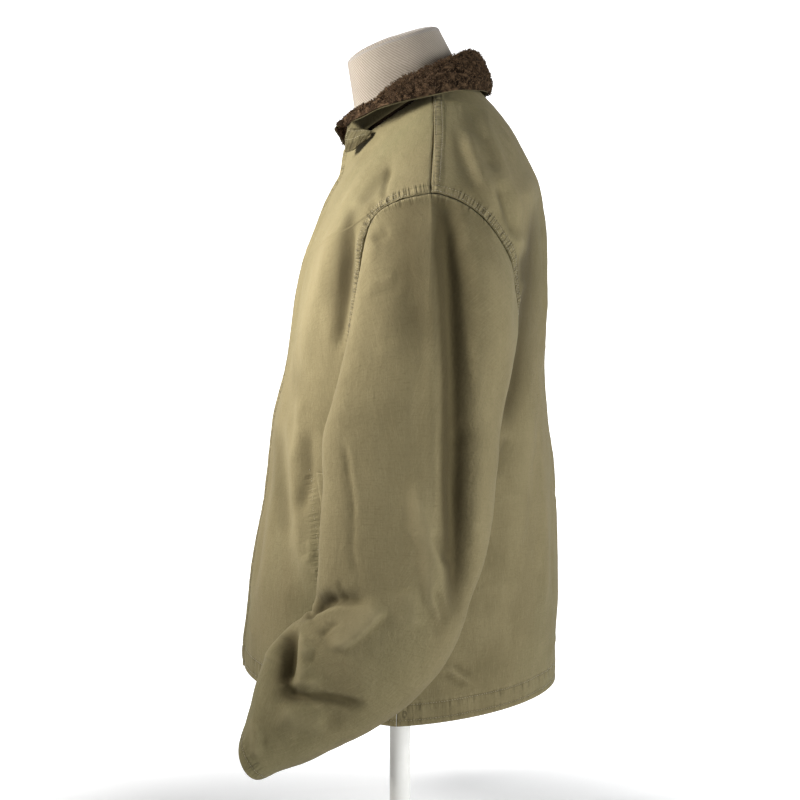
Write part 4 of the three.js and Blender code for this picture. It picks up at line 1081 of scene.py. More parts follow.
def shell_material(name="shell cloth", base=(0.127, 0.104, 0.053), light=(0.184, 0.154, 0.084), dark=(0.076, 0.061, 0.028)):
    """Olive-drab cotton with a fine diagonal rib, slubs, a faded nap, gathers along its seams and edges worn pale;
    painted shade in creases and hollows, painted highlight on ridges, and the gathers painted as shade and highlight.
    """
    m, nt, b = nodes_of(name, 0.9, sheen=0.03, sheen_rough=0.55, spec=0.1, tint=(0.86, 0.8, 0.62))
    uv = nt.nodes.new("ShaderNodeUVMap")
    uv.uv_map = "cloth"
    at = uv.outputs["UV"]
    obj = nt.nodes.new("ShaderNodeTexCoord").outputs["Object"]
    broad = noise_at(nt, obj, 8.0, 4.0, 0.55)
    hue = noise_at(nt, scaled(nt, obj, (1, 1, 0.5), (0, 0, 0)), 5.0, 3.0, 0.5)
    blotch = noise_at(nt, scaled(nt, obj, (1, 1, 0.45)), 42.0, 4.0, 0.6)
    warp = noise_at(nt, scaled(nt, at, (900, 60, 1)), 1.0, 2.0, 0.6)
    weft = noise_at(nt, scaled(nt, at, (50, 700, 1)), 1.0, 2.0, 0.6)
    fleck = noise_at(nt, at, 520.0, 2.0, 0.6)
    nap = noise_at(nt, obj, 300.0, 3.0, 0.6)
    twill = wave(nt, scaled(nt, at, (1, 1, 1), (0, 0, 0.95)), 330.0, "X", "SIN")
    cross = wave(nt, at, 420.0, "Y", "SIN")
    gather_and_crease_shade = nt.nodes.new("ShaderNodeAttribute")
    gather_and_crease_shade.attribute_name = "gather_and_crease_shade"
    parts = nt.nodes.new("ShaderNodeSeparateXYZ")
    nt.links.new(gather_and_crease_shade.outputs["Vector"], parts.inputs[0])
    gather = nt.nodes.new("ShaderNodeTexNoise")
    gather.noise_dimensions = "1D"
    gather.inputs["Scale"].default_value = 1.25
    gather.inputs["Detail"].default_value = 2.0
    gather.inputs["Roughness"].default_value = 0.5
    nt.links.new(parts.outputs[0], gather.inputs["W"])
    fold = maths(nt, "MULTIPLY", maths(nt, "SUBTRACT", gather.outputs["Fac"], 0.5), parts.outputs[1])
    colour = mix_colour(nt, dark, base, ramp(nt, broad, 0.15, 0.5))
    colour = mix_colour(nt, colour, (0.11, 0.104, 0.051), maths(nt, "MULTIPLY", ramp(nt, hue, 0.45, 0.7), 0.55))
    colour = mix_colour(nt, colour, light, maths(nt, "MULTIPLY", ramp(nt, blotch, 0.48, 0.78), 0.35))
    colour = mix_colour(nt, colour, light, maths(nt, "MULTIPLY", ramp(nt, warp, 0.5, 0.85), 0.5))
    colour = mix_colour(nt, colour, dark, maths(nt, "MULTIPLY", ramp(nt, weft, 0.52, 0.85), 0.4))
    colour = mix_colour(nt, colour, dark, maths(nt, "MULTIPLY", ramp(nt, fleck, 0.5, 0.8), 0.4))
    colour = mix_colour(nt, colour, dark, maths(nt, "MULTIPLY", ramp(nt, nap, 0.5, 0.8), 0.3))
    colour = mix_colour(nt, colour, dark, maths(nt, "MULTIPLY", twill, 0.16))
    # painted shade in the creases' troughs and painted highlight on their ridges
    colour = mix_colour(nt, colour, (0.03, 0.022, 0.008), maths(nt, "MULTIPLY", ramp(nt, parts.outputs[2], 0.0, -1.0), 0.8))
    colour = mix_colour(nt, colour, light, maths(nt, "MULTIPLY", ramp(nt, parts.outputs[2], 0.05, 0.8), 0.4))
    # painted shade and highlight of the seam gathers
    colour = mix_colour(nt, colour, (0.04, 0.032, 0.017), maths(nt, "MULTIPLY", ramp(nt, fold, -0.03, -0.22), 0.75))
    colour = mix_colour(nt, colour, light, maths(nt, "MULTIPLY", ramp(nt, fold, 0.05, 0.25), 0.5))
    wear_and_painted_shade = nt.nodes.new("ShaderNodeAttribute")
    wear_and_painted_shade.attribute_name = "wear_and_painted_shade"
    rub = maths(nt, "MULTIPLY", wear_and_painted_shade.outputs["Fac"], ramp(nt, noise_at(nt, obj, 260.0, 3.0, 0.6), 0.42, 0.66))
    colour = mix_colour(nt, colour, light, maths(nt, "MULTIPLY", rub, 0.55, clamp=True))
    # painted shade in hollows, where pointiness is low; convex edges worn paler
    point = nt.nodes.new("ShaderNodeNewGeometry").outputs["Pointiness"]
    colour = mix_colour(nt, colour, dark, maths(nt, "MULTIPLY", ramp(nt, point, 0.49, 0.46), 0.5))
    colour = mix_colour(nt, colour, light, maths(nt, "MULTIPLY", ramp(nt, point, 0.515, 0.56), 0.45))
    nt.links.new(colour, b.inputs["Base Color"])
    rough = nt.nodes.new("ShaderNodeMapRange")
    rough.inputs["To Min"].default_value = 0.78
    rough.inputs["To Max"].default_value = 0.95
    nt.links.new(blotch, rough.inputs["Value"])
    nt.links.new(rough.outputs["Result"], b.inputs["Roughness"])
    crumple = noise_at(nt, scaled(nt, obj, (1, 1, 0.6)), 110.0, 5.0, 0.62, 0.4)
    bump(
        nt,
        b,
        [
            (fold, 0.007, 0.9),
            (crumple, 0.002, 0.5),
            (nap, 0.0009, 0.45),
            (warp, 0.0004, 0.35),
            (twill, 0.0002, 0.35),
            (cross, 0.00012, 0.25),
            (fleck, 0.0003, 0.35),
        ],
    )
    return m


def thread_material():
    m, nt, b = nodes_of("thread", 0.75, sheen=0.3, spec=0.3)
    obj = nt.nodes.new("ShaderNodeTexCoord").outputs["Object"]
    tone = noise_at(nt, obj, 300.0, 3.0, 0.6)
    nt.links.new(mix_colour(nt, (0.1, 0.084, 0.045), (0.24, 0.205, 0.12), ramp(nt, tone, 0.3, 0.7)), b.inputs["Base Color"])
    ply = wave(nt, scaled(nt, obj, (1, 1, 1), (0.6, 0.3, 0.2)), 1500.0)
    bump(nt, b, [(ply, 0.0001, 0.5)])
    return m


def pile_material():
    """Curly pile: tan at the tips, darkening to near-black brown at the roots, which is painted shade in the depth of
    the pile.
    """
    m, nt, b = nodes_of("collar pile", 0.95, sheen=0.02, sheen_rough=0.6, spec=0.04, tint=(0.8, 0.58, 0.36))
    obj = nt.nodes.new("ShaderNodeTexCoord").outputs["Object"]
    tip = nt.nodes.new("ShaderNodeAttribute")
    tip.attribute_name = "wear_and_painted_shade"
    clump = noise_at(nt, obj, 150.0, 4.0, 0.6)
    fine = noise_at(nt, obj, 900.0, 3.0, 0.65)
    patch = noise_at(nt, obj, 26.0, 3.0, 0.5)
    # painted shade: the colour darkens towards the roots
    root = mix_colour(nt, (0.005, 0.003, 0.0017), (0.018, 0.0105, 0.0055), ramp(nt, clump, 0.3, 0.7))
    crown = mix_colour(nt, (0.048, 0.028, 0.0145), (0.15, 0.095, 0.054), ramp(nt, fine, 0.3, 0.72))
    colour = mix_colour(nt, root, crown, ramp(nt, tip.outputs["Fac"], 0.25, 1.0))
    colour = mix_colour(nt, colour, (0.06, 0.036, 0.02), maths(nt, "MULTIPLY", ramp(nt, patch, 0.45, 0.75), 0.4))
    nt.links.new(colour, b.inputs["Base Color"])
    rough = nt.nodes.new("ShaderNodeMapRange")
    rough.inputs["To Min"].default_value = 0.85
    rough.inputs["To Max"].default_value = 1.0
    nt.links.new(fine, rough.inputs["Value"])
    nt.links.new(rough.outputs["Result"], b.inputs["Roughness"])
    bump(nt, b, [(clump, 0.002, 0.6), (fine, 0.0006, 0.6)])
    return m


def form_material():
    """Natural jersey stretched over the form: fine slanting ribs and a few soft marks."""
    m, nt, b = nodes_of("form cloth", 0.82, sheen=0.25, sheen_rough=0.4, spec=0.3)
    uv = nt.nodes.new("ShaderNodeUVMap")
    uv.uv_map = "cloth"
    obj = nt.nodes.new("ShaderNodeTexCoord").outputs["Object"]
    slant = scaled(nt, uv.outputs["UV"], (1, 1, 1), (0, 0, -0.75))
    ribs = wave(nt, slant, 104.0, "X", "SIN", 0.3, 2.0)
    knit = wave(nt, uv.outputs["UV"], 420.0, "Y", "SIN")
    stain = noise_at(nt, obj, 14.0, 4.0, 0.55)
    speck = noise_at(nt, obj, 420.0, 3.0, 0.6)
    colour = mix_colour(nt, (0.2, 0.168, 0.132), (0.242, 0.208, 0.166), ramp(nt, stain, 0.3, 0.65))
    colour = mix_colour(nt, colour, (0.11, 0.089, 0.067), maths(nt, "MULTIPLY", ramp(nt, ribs, 0.62, 0.15), 0.75))
    rim = nt.nodes.new("ShaderNodeAttribute")
    rim.attribute_name = "wear_and_painted_shade"
    colour = mix_colour(nt, colour, (0.16, 0.15, 0.14), maths(nt, "MULTIPLY", rim.outputs["Fac"], 0.8, clamp=True))
    colour = mix_colour(nt, colour, (0.36, 0.31, 0.25), maths(nt, "MULTIPLY", ramp(nt, speck, 0.55, 0.8), 0.3))
    nt.links.new(colour, b.inputs["Base Color"])
    rough = nt.nodes.new("ShaderNodeMapRange")
    rough.inputs["To Min"].default_value = 0.72
    rough.inputs["To Max"].default_value = 0.92
    nt.links.new(stain, rough.inputs["Value"])
    nt.links.new(rough.outputs["Result"], b.inputs["Roughness"])
    bump(nt, b, [(ribs, 0.0006, 0.55), (knit, 0.00015, 0.3), (speck, 0.0002, 0.3)])
    return m


def paint_material():
    m, nt, b = nodes_of("stand paint", 0.42, spec=0.5)
    obj = nt.nodes.new("ShaderNodeTexCoord").outputs["Object"]
    tone = noise_at(nt, obj, 18.0, 4.0, 0.55)
    peel = noise_at(nt, obj, 700.0, 2.0, 0.5)
    scuff = noise_at(nt, scaled(nt, obj, (1, 1, 0.2)), 160.0, 6.0, 0.7)
    colour = mix_colour(nt, (0.6, 0.59, 0.55), (0.7, 0.69, 0.66), ramp(nt, tone, 0.3, 0.7))
    colour = mix_colour(nt, colour, (0.5, 0.49, 0.46), maths(nt, "MULTIPLY", ramp(nt, scuff, 0.66, 0.8), 0.5))
    nt.links.new(colour, b.inputs["Base Color"])
    rough = nt.nodes.new("ShaderNodeMapRange")
    rough.inputs["To Min"].default_value = 0.34
    rough.inputs["To Max"].default_value = 0.56
    nt.links.new(scuff, rough.inputs["Value"])
    nt.links.new(rough.outputs["Result"], b.inputs["Roughness"])
    bump(nt, b, [(peel, 0.0001, 0.25)])
    return m


def button_material():
    m, nt, b = nodes_of("button", 0.38, spec=0.5)
    obj = nt.nodes.new("ShaderNodeTexCoord").outputs["Object"]
    swirl = noise_at(nt, scaled(nt, obj, (1, 1, 0.35)), 260.0, 5.0, 0.6, 1.2)
    fine = noise_at(nt, obj, 1500.0, 3.0, 0.6)
    colour = mix_colour(nt, (0.14, 0.092, 0.045), (0.42, 0.315, 0.18), ramp(nt, swirl, 0.3, 0.7))
    colour = mix_colour(nt, colour, (0.55, 0.44, 0.28), maths(nt, "MULTIPLY", ramp(nt, fine, 0.6, 0.8), 0.35))
    nt.links.new(colour, b.inputs["Base Color"])
    rough = nt.nodes.new("ShaderNodeMapRange")
    rough.inputs["To Min"].default_value = 0.28
    rough.inputs["To Max"].default_value = 0.55
    nt.links.new(fine, rough.inputs["Value"])
    nt.links.new(rough.outputs["Result"], b.inputs["Roughness"])
    bump(nt, b, [(swirl, 0.0003, 0.3), (fine, 0.0001, 0.4)])
    return m


SHELL_CLOTH = shell_material()
SHADED_CLOTH = shell_material("shell cloth under the collar", (0.075, 0.061, 0.03), (0.108, 0.089, 0.046), (0.046, 0.037, 0.017))  # a darker copy: painted shade under the collar and on the throat tab
THREAD = thread_material()
PILE_CLOTH = pile_material()
FORM_CLOTH = form_material()
PAINT = paint_material()
BUTTON_PLASTIC = button_material()


def dress(ob, material):
    ob.data.materials.clear()
    ob.data.materials.append(material)
    return ob


# ------------------------------------------------------------------ fronts and back
def body_rows(fine, back):
    """s and the armhole edge's distance from the side line, row by row."""
    rows = [(s, 0.0) for s in (0, 0.0004, 0.0012, 0.0026)]
    rows += [(s, 0.0) for s in np.arange(0.005, 0.068, 0.0032 * fine)]
    rows += [(s, 0.0) for s in np.arange(0.071, 0.579, 0.0066 * fine)]
    count = int(60 / fine)
    psi = np.linspace(math.pi, 0, count + 1) * (1 if back else -1)
    s, dy = armhole(psi)
    dy[0] = dy[-1] = 0
    rows += list(zip(s, dy))
    rows += [(s, 0.0) for s in np.arange(0.8512, 0.862, 0.0012 * fine)]
    rows += [(s, 0.0) for s in np.arange(0.865, 0.9985, 0.0036 * fine)]
    rows += [(0.9992, 0.0), (1.0, 0.0)]
    return np.array(rows)


def spaced(count, edge_share):
    """0 to 1, closer together near 1 and a little near 0."""
    t = np.linspace(0, 1, count)
    return t + edge_share * (np.sin(np.pi * t) / np.pi) * t * 1.15


def panel_grid(side, back, start_x, fine, columns):
    rows = body_rows(fine, back)
    s, dy = rows[:, 0], rows[:, 1]
    slack = (SEAM_GAP / 2 + 0.05) / column(BODY, "s", "xSide", s)
    # away from the armhole's edge its rows lie evenly, not crowded at its square top
    cut = np.flatnonzero(dy)
    even = s.copy()
    even[cut[0] - 1 : cut[-1] + 2] = np.linspace(s[cut[0] - 1], s[cut[-1] + 1], cut[-1] - cut[0] + 3)
    start = np.full_like(s, math.pi) if back else phi_across(even, np.full_like(s, start_x))
    edge = phi_at(s, np.maximum(dy, 1e-9) if back else np.minimum(dy, -1e-9)) + (slack if back else -slack)
    a = spaced(columns, 0.7)
    # the last few columns lie close to the edge, where the felled seams are
    phi = start[:, None] + (edge - start)[:, None] * a[None]
    return even[:, None] + (s - even)[:, None] * a[None] ** 5, phi * side


def panel_object(name, node, s, phi, uv_at=(0, 0)):
    p, n, wear_and_painted_shade = body_surface(s, phi)
    ob = cloth_shell(name, p, n, SHELL, wear_and_painted_shade=wear_and_painted_shade, uv_at=uv_at)
    dress(ob, SHELL_CLOTH)
    return attach(ob, "shell_cloth", node)


HALF_GAP = SEAM_GAP / 2 + 0.1
s, phi = panel_grid(1, False, HALF_GAP, 1.0, 92)
front_left = panel_object("front_left_cloth", "front_left", s, phi)
s, phi = panel_grid(-1, False, HALF_GAP, 1.35, 66)
front_right = panel_object("front_right_cloth", "front_right", s, phi)
sl, pl = panel_grid(1, True, 0, 1.0, 92)
sr, pr = panel_grid(-1, True, 0, 1.0, 80)
# the right half ends at -180 degrees, which is the left half's 180
s = np.concatenate([sl[:, ::-1], sr[:, 1:]], axis=1)
phi = np.concatenate([pl[:, ::-1], pr[:, 1:]], axis=1)
back_panel = panel_object("back_cloth", "back", s, phi)

# ------------------------------------------------------------------ sleeves
for side, name, node, fine in ((1, "sleeve_left_cloth", "sleeve_left", 1.0), (-1, "sleeve_right_cloth", "sleeve_right", 1.3)):
    us = np.concatenate(
        [
            [0, 0.0012, 0.004, 0.008, 0.014],
            np.arange(0.022, CAP, 0.0088 * fine),
            np.arange(CAP, 0.962, 0.0058 * fine),
            np.arange(0.964, 0.9975, 0.0024 * fine),
            [0.998, 0.9993, 1.0],
        ]
    )
    around = int(148 / fine)
    psi = np.linspace(0, 2 * math.pi, around + 1)[:-1]
    # columns a little closer together on the outer face
    psi = psi - 0.12 * np.sin(psi)
    U, V = np.meshgrid(us, psi, indexing="ij")
    p, n, wear_and_painted_shade = sleeve_surface(U, V, side)
    ob = cloth_shell(name, p, n, SHELL, closed=True, wear_and_painted_shade=wear_and_painted_shade)
    dress(ob, SHELL_CLOTH)
    attach(ob, "shell_cloth", node)

# ------------------------------------------------------------------ wind flap
rows = body_rows(1.0, False)[:, 0]
xs = np.concatenate([[FLAP_LEFT, FLAP_LEFT - 0.4, FLAP_LEFT - 1.2], np.arange(FLAP_LEFT - 3.4, FLAP_RIGHT + 2.6, -3.0), [FLAP_RIGHT + 1.2, FLAP_RIGHT + 0.4, FLAP_RIGHT]])
S = np.repeat(rows[:, None], len(xs), 1)
X = np.repeat(xs[None], len(rows), 0)
PHI = phi_across(S, X)


def flap_surface(s, phi, x):
    p, n, wear_and_painted_shade = body_surface(s, phi)
    edge = np.minimum(FLAP_LEFT - x, x - FLAP_RIGHT)
    h = -0.45 * np.exp(-(((edge - 5.0) / 1.3) ** 2)) + 0.3 * pucker(p[..., 2], 91, 8.0) * np.exp(-(((edge - 5) / 4.5) ** 2))
    h = h + 0.25 * noise(p, (12, 12, 22), 93)
    for z, lift in BUTTONS:
        d = np.hypot(p[..., 2] - z, x - BUTTON_X)
        h = h - 0.6 * np.exp(-((d / 9.0) ** 2))
        h = h + 0.4 * np.cos(np.arctan2(p[..., 2] - z, x - BUTTON_X) * 5 + z) * np.exp(-(((d - 12) / 6.0) ** 2))
    wear_and_painted_shade[..., 0] = np.clip(wear_and_painted_shade[..., 0] + 0.8 * np.exp(-((edge / 2.5) ** 2)), 0, 1.5)
    # the gathers beside its stitched edge, painted as shade and highlight in the colour
    w = 0.7 * np.exp(-(((edge - 4) / 5) ** 2))
    wear_and_painted_shade[..., 1] = np.where(w > wear_and_painted_shade[..., 2], p[..., 2] / 7 + np.sign(x) * 100, wear_and_painted_shade[..., 1])
    wear_and_painted_shade[..., 2] = np.maximum(w, wear_and_painted_shade[..., 2])
    over = flap_over(x)
    return p + n * (h * ease(over / 2.7) + over)[..., None], n, wear_and_painted_shade


def flap_over(x):
    """The flap's outer face over the fronts: it thins to nothing at its sewn edge."""
    return 0.35 + (FLAP_LIFT + FLAP_WALL - 0.35) * ease((FLAP_LEFT - x) / 8)


p, n, wear_and_painted_shade = flap_surface(S, PHI, X)
flap = dress(cloth_shell("wind_flap_cloth", p, n, flap_over(X) - 0.15, wear_and_painted_shade=wear_and_painted_shade, flat_back=True), SHELL_CLOTH)
attach(flap, "shell_cloth", "wind_flap")

# ------------------------------------------------------------------ buttons
def s_at_front(z):
    s = np.linspace(0, 1, 4001)
    return float(np.interp(z, column(BODY, "s", "zFront", s), s))


def button_mesh():
    rs = np.concatenate([np.arange(0, 4.6, 0.22), [4.8, 5.2, 5.6, 6.0, 6.5, 7.0, 7.35, 7.56, 7.6, 7.6, 7.45, 7.0, 3.0]])
    ts = np.linspace(0, 2 * math.pi, 65)[:-1]
    R, T = np.meshgrid(rs, ts, indexing="ij")
    top = len(rs) - 4
    x, y = R * np.cos(T), R * np.sin(T)
    z = 2.15 + 0.75 * ease((R - 4.3) / 1.1) - 0.65 * ease((R - 6.6) / 1.0) ** 2 - 0.25 * (1 - (R / 4.3) ** 2).clip(0, 1)
    for a in range(4):
        hx, hy = 1.75 * math.cos(math.pi / 4 + a * math.pi / 2), 1.75 * math.sin(math.pi / 4 + a * math.pi / 2)
        z -= 1.5 * (1 - ease((np.hypot(x - hx, y - hy) - 0.55) / 0.4))
    for k, (zz) in enumerate((1.2, 0.35, 0.0, 0.0)):
        z[top + k] = zz
    v = np.stack([x, y, z], axis=-1).reshape(-1, 3)
    return v, grid_faces(len(rs), len(ts), True)


def place(v, centre, x_dir, y_dir, z_dir):
    return centre + v[:, :1] * x_dir + v[:, 1:2] * y_dir + v[:, 2:3] * z_dir


button_v, button_f = button_mesh()
thread_parts = []
for i, (z, lift) in enumerate(BUTTONS):
    s0 = np.array([s_at_front(z)])
    ph = phi_across(s0, np.array([BUTTON_X]))
    n0 = body_normal(s0, ph)[0]
    seat = flap_surface(s0, ph, np.array([BUTTON_X]))[0][0]
    c = body_point(s0, ph, FLAP_LIFT + FLAP_WALL + lift)[0]
    up = np.array([0, 0, 1.0])
    xd = unit(np.cross(up, n0))
    yd = np.cross(n0, xd)
    turn = 0.35 * math.sin(i * 2.3)
    xd, yd = xd * math.cos(turn) + yd * math.sin(turn), yd * math.cos(turn) - xd * math.sin(turn)
    ob = make_object(f"button_{i + 1}_detail", place(button_v, c, xd, yd, n0), button_f)
    dress(ob, BUTTON_PLASTIC)
    attach(ob, "button", f"button_{i + 1}")
    # thread: two bars over the holes and a short shank below
    def tube(points, r, sides=7):
        points = np.array(points, float)
        ts = np.linspace(0, 2 * math.pi, sides + 1)[:-1]
        d = unit(np.gradient(points, axis=0))
        ref = np.array([0.3, 0.9, 0.2])
        a = unit(np.cross(d, ref))
        b = np.cross(d, a)
        v = points[:, None] + r * (a[:, None] * np.cos(ts)[None, :, None] + b[:, None] * np.sin(ts)[None, :, None])
        return v.reshape(-1, 3), grid_faces(len(points), sides, True)

    for a in (0, 1):
        w = 1.24 if a == 0 else -1.24
        bar = [(w, -1.5, 1.3), (w, -1.15, 2.2), (w * 0.9, 0, 2.55), (w, 1.15, 2.2), (w, 1.5, 1.3)]
        v, f = tube(bar, 0.42)
        thread_parts.append((place(v, c, xd, yd, n0), f))
    gap = lift + 0.9
    for a in range(5):
        t = a * 2 * math.pi / 5
        v, f = tube([(0.9 * math.cos(t), 0.9 * math.sin(t), 0.3), (0.75 * math.cos(t + 0.6), 0.75 * math.sin(t + 0.6), -gap / 2), (0.9 * math.cos(t + 1.2), 0.9 * math.sin(t + 1.2), -gap)], 0.4)
        thread_parts.append((place(v, c, xd, yd, n0), f))
v, f = joined(thread_parts)
button_thread = dress(make_object("button_thread", v, f), THREAD)
attach(button_thread, "shell_cloth")

# ------------------------------------------------------------------ pocket welts
welts = {}
for side, node in ((1, "pocket_welt_left"), (-1, "pocket_welt_right")):
    a = np.concatenate([[0, 0.003, 0.01], np.linspace(0.03, 0.97, 46), [0.99, 0.997, 1]])
    b = np.concatenate([[0, 0.015, 0.05], np.linspace(0.12, 0.9, 12), [0.95, 0.985, 1]])
    A, B = np.meshgrid(a, b, indexing="ij")
    s = POCKET["sTop"] + (POCKET["sBottom"] - POCKET["sTop"]) * A
    y = POCKET["yTop"] + (POCKET["yBottom"] - POCKET["yTop"]) * A + POCKET["width"] * B
    ph = side * phi_at(s, y - column(BODY, "s", "ySide", s))
    p, n, wear_and_painted_shade = body_surface(s, ph)
    run = A * 175
    edge = np.minimum(np.minimum(B, 1 - B) * POCKET["width"], np.minimum(A, 1 - A) * 175)
    lump = -0.5 * np.exp(-(((edge - 2.6) / 1.1) ** 2)) + 0.35 * pucker(run, 101 + side, 7.0) * np.exp(-((edge - 3) / 4) ** 2)
    p = p + n * (0.8 + 1.5 + 0.35 * noise(p, (9, 9, 16), 103) + lump - 0.9 * np.exp(-((B / 0.12) ** 2)))[..., None]
    welts[side] = dress(cloth_shell(f"{node}_cloth", p, n, 1.5, wear_and_painted_shade=np.clip(wear_and_painted_shade[..., 0] + np.exp(-((edge / 2) ** 2)), 0, 1.5)), SHELL_CLOTH)
    attach(welts[side], "shell_cloth", node)

# ------------------------------------------------------------------ stitches
def body_line(s, phi, out=0.0, side=1):
    s, phi = np.broadcast_arrays(np.asarray(s, float), np.asarray(phi, float))
    p, n, _ = body_surface(s, phi, out)
    return p, n


def at_distance(line_s, line_phi, step_s, step_phi, d):
    """A line on the body that runs d mm beside another."""
    a = body_point(line_s, line_phi)
    b = body_point(line_s + step_s, line_phi + step_phi)
    k = d / np.maximum(np.linalg.norm(b - a, axis=-1), 1e-6)
    return body_line(line_s + step_s * k, line_phi + step_phi * k)


sewn = {"front_left": [], "front_right": [], "back": [], "sleeve_left": [], "sleeve_right": [], "flap": []}
for d in (HEM_BAND - 2.0, HEM_LOW_STITCH):
    for side, key in ((1, "front_left"), (-1, "front_right")):
        ph = np.linspace(phi_across(np.array([0.03]), np.array([FLAP_LEFT if side > 0 else -FLAP_RIGHT]))[0] + 0.01, math.pi / 2 - 0.012, 130) * side
        sewn[key].append(at_distance(np.zeros_like(ph), ph, 0.03, 0.0, d))
    ph = np.linspace(math.pi / 2 + 0.012, 3 * math.pi / 2 - 0.012, 260)
    sewn["back"].append(at_distance(np.zeros_like(ph), ph, 0.03, 0.0, d))
for d in (1.9, ARMHOLE_BAND - 1.3):
    for side in (1, -1):
        for lo, hi, key in ((-math.pi + 0.25, -0.02, "front"), (0.02, math.pi - 0.25, "back")):
            psi = np.linspace(lo, hi, 150)
            s_, dy = armhole(psi, 0.0)
            s2, dy2 = armhole(psi, -12.0)
            ph1, ph2 = phi_at(s_, dy), phi_at(s2, dy2)
            a, b = body_point(s_, ph1), body_point(s2, ph2)
            k = d / np.linalg.norm(b - a, axis=-1)
            p, n = body_line(s_ + (s2 - s_) * k, side * (ph1 + (ph2 - ph1) * k))
            sewn["back" if key == "back" else ("front_left" if side > 0 else "front_right")].append((p, n))
for d in (2.0, SHOULDER_BAND - 1.6):
    for side in (1, -1):
        s_ = np.linspace(ARM_TOP + 0.012, 0.985, 60)
        ph = np.full_like(s_, math.pi / 2)
        a, b = body_point(s_, ph), body_point(s_, ph + 0.1)
        k = d / np.linalg.norm(b - a, axis=-1)
        sewn["back"].append(body_line(s_, side * (ph + 0.1 * k)))
for side, key in ((1, "front_left"), (-1, "front_right")):
    a = np.linspace(-0.02, 1.02, 60)
    s_ = POCKET["sTop"] + (POCKET["sBottom"] - POCKET["sTop"]) * a
    y = POCKET["yTop"] + (POCKET["yBottom"] - POCKET["yTop"]) * a - 10.0
    sewn[key].append(body_line(s_, side * phi_at(s_, y - column(BODY, "s", "ySide", s_))))
for side, key in ((1, "sleeve_left"), (-1, "sleeve_right")):
    psi = np.linspace(0, 2 * math.pi, 200)
    base = sleeve_frame(np.ones_like(psi), psi, side)[0]
    up = sleeve_frame(np.full_like(psi, 0.97), psi, side)[0]
    k = 0.03 * (CUFF_BAND - 1.8) / np.linalg.norm(up - base, axis=-1)
    p, n, _ = sleeve_surface(1 - k, psi, side)
    sewn[key].append((p, n))
rows = np.linspace(0.012, 0.985, 260)
for x in (FLAP_RIGHT + 5.0, FLAP_LEFT - 3.0):
    ph = phi_across(rows, np.full_like(rows, x))
    p, n, _ = flap_surface(rows, ph, np.full_like(rows, x))
    sewn["flap"].append((p, n))
thread_objects = {}
for key, lines in sewn.items():
    v, f = stitches(lines, seed=200 + len(key))
    thread_objects[key] = attach(dress(make_object(f"stitches_{key}", v, f), THREAD), "shell_cloth")

# ------------------------------------------------------------------ collar
def collar_edge(q, w):
    """How far a point of the collar is from the leaf's edge and its ends, in mm."""
    return np.minimum((1 - w) * 75, (1 - np.abs(q)) * 175)


qs = np.linspace(-1, 1, 200)
ws = np.concatenate([np.linspace(0, 0.3, 9)[:-1], np.linspace(0.3, 0.52, 9)[:-1], np.linspace(0.52, 1, 22)])
Q, W = np.meshgrid(qs, ws, indexing="ij")
p, n = collar_frame(Q, W)
lump = 0.35 * noise(p, (22, 22, 14), 111) + 0.2 * noise(p, (9, 9, 7), 112)
# pale at the leaf's edge from wear, with painted gathers; painted shade over the whole under-collar, darker still along
# a line 6 mm in from the edge
marks = np.stack([np.exp(-((collar_edge(Q, W) / 3) ** 2)), Q * 22 + lump, 0.3 + 0 * Q, -0.35 - 0.4 * np.exp(-(((collar_edge(Q, W) - 6) / 1.2) ** 2))], axis=-1)
under = dress(cloth_shell("collar_under_cloth", p - n * COLLAR_GAP, n, COLLAR_CLOTH, wear_and_painted_shade=marks), SHADED_CLOTH)
attach(under, "shell_cloth", "collar_under")


def pile_curl(p):
    return 1.3 * noise(p, (3.4, 3.4, 3.4), 121) + 0.8 * noise(p, (8, 8, 8), 122)


qs = np.linspace(-1, 1, 330)
ws = np.linspace(0, 1, 84)
Q, W = np.meshgrid(qs, ws, indexing="ij")
p, n = collar_frame(Q, W)
edge = collar_edge(Q, W)
thick = (PILE - 2.6) * (0.35 + 0.65 * ease(edge / 7))
curl = pile_curl(p)
top = p + n * (thick + curl * ease(edge / 4))[..., None]
# its colour mask follows the curls, so the dips are darker: painted shade
pile_base = cloth_shell("collar_pile_base", top, n, 2.2, wear_and_painted_shade=np.clip(0.3 + 0.5 * noise(p, (3.4, 3.4, 3.4), 121), 0, 1))
dress(pile_base, PILE_CLOTH)
attach(pile_base, "pile", "collar_pile")


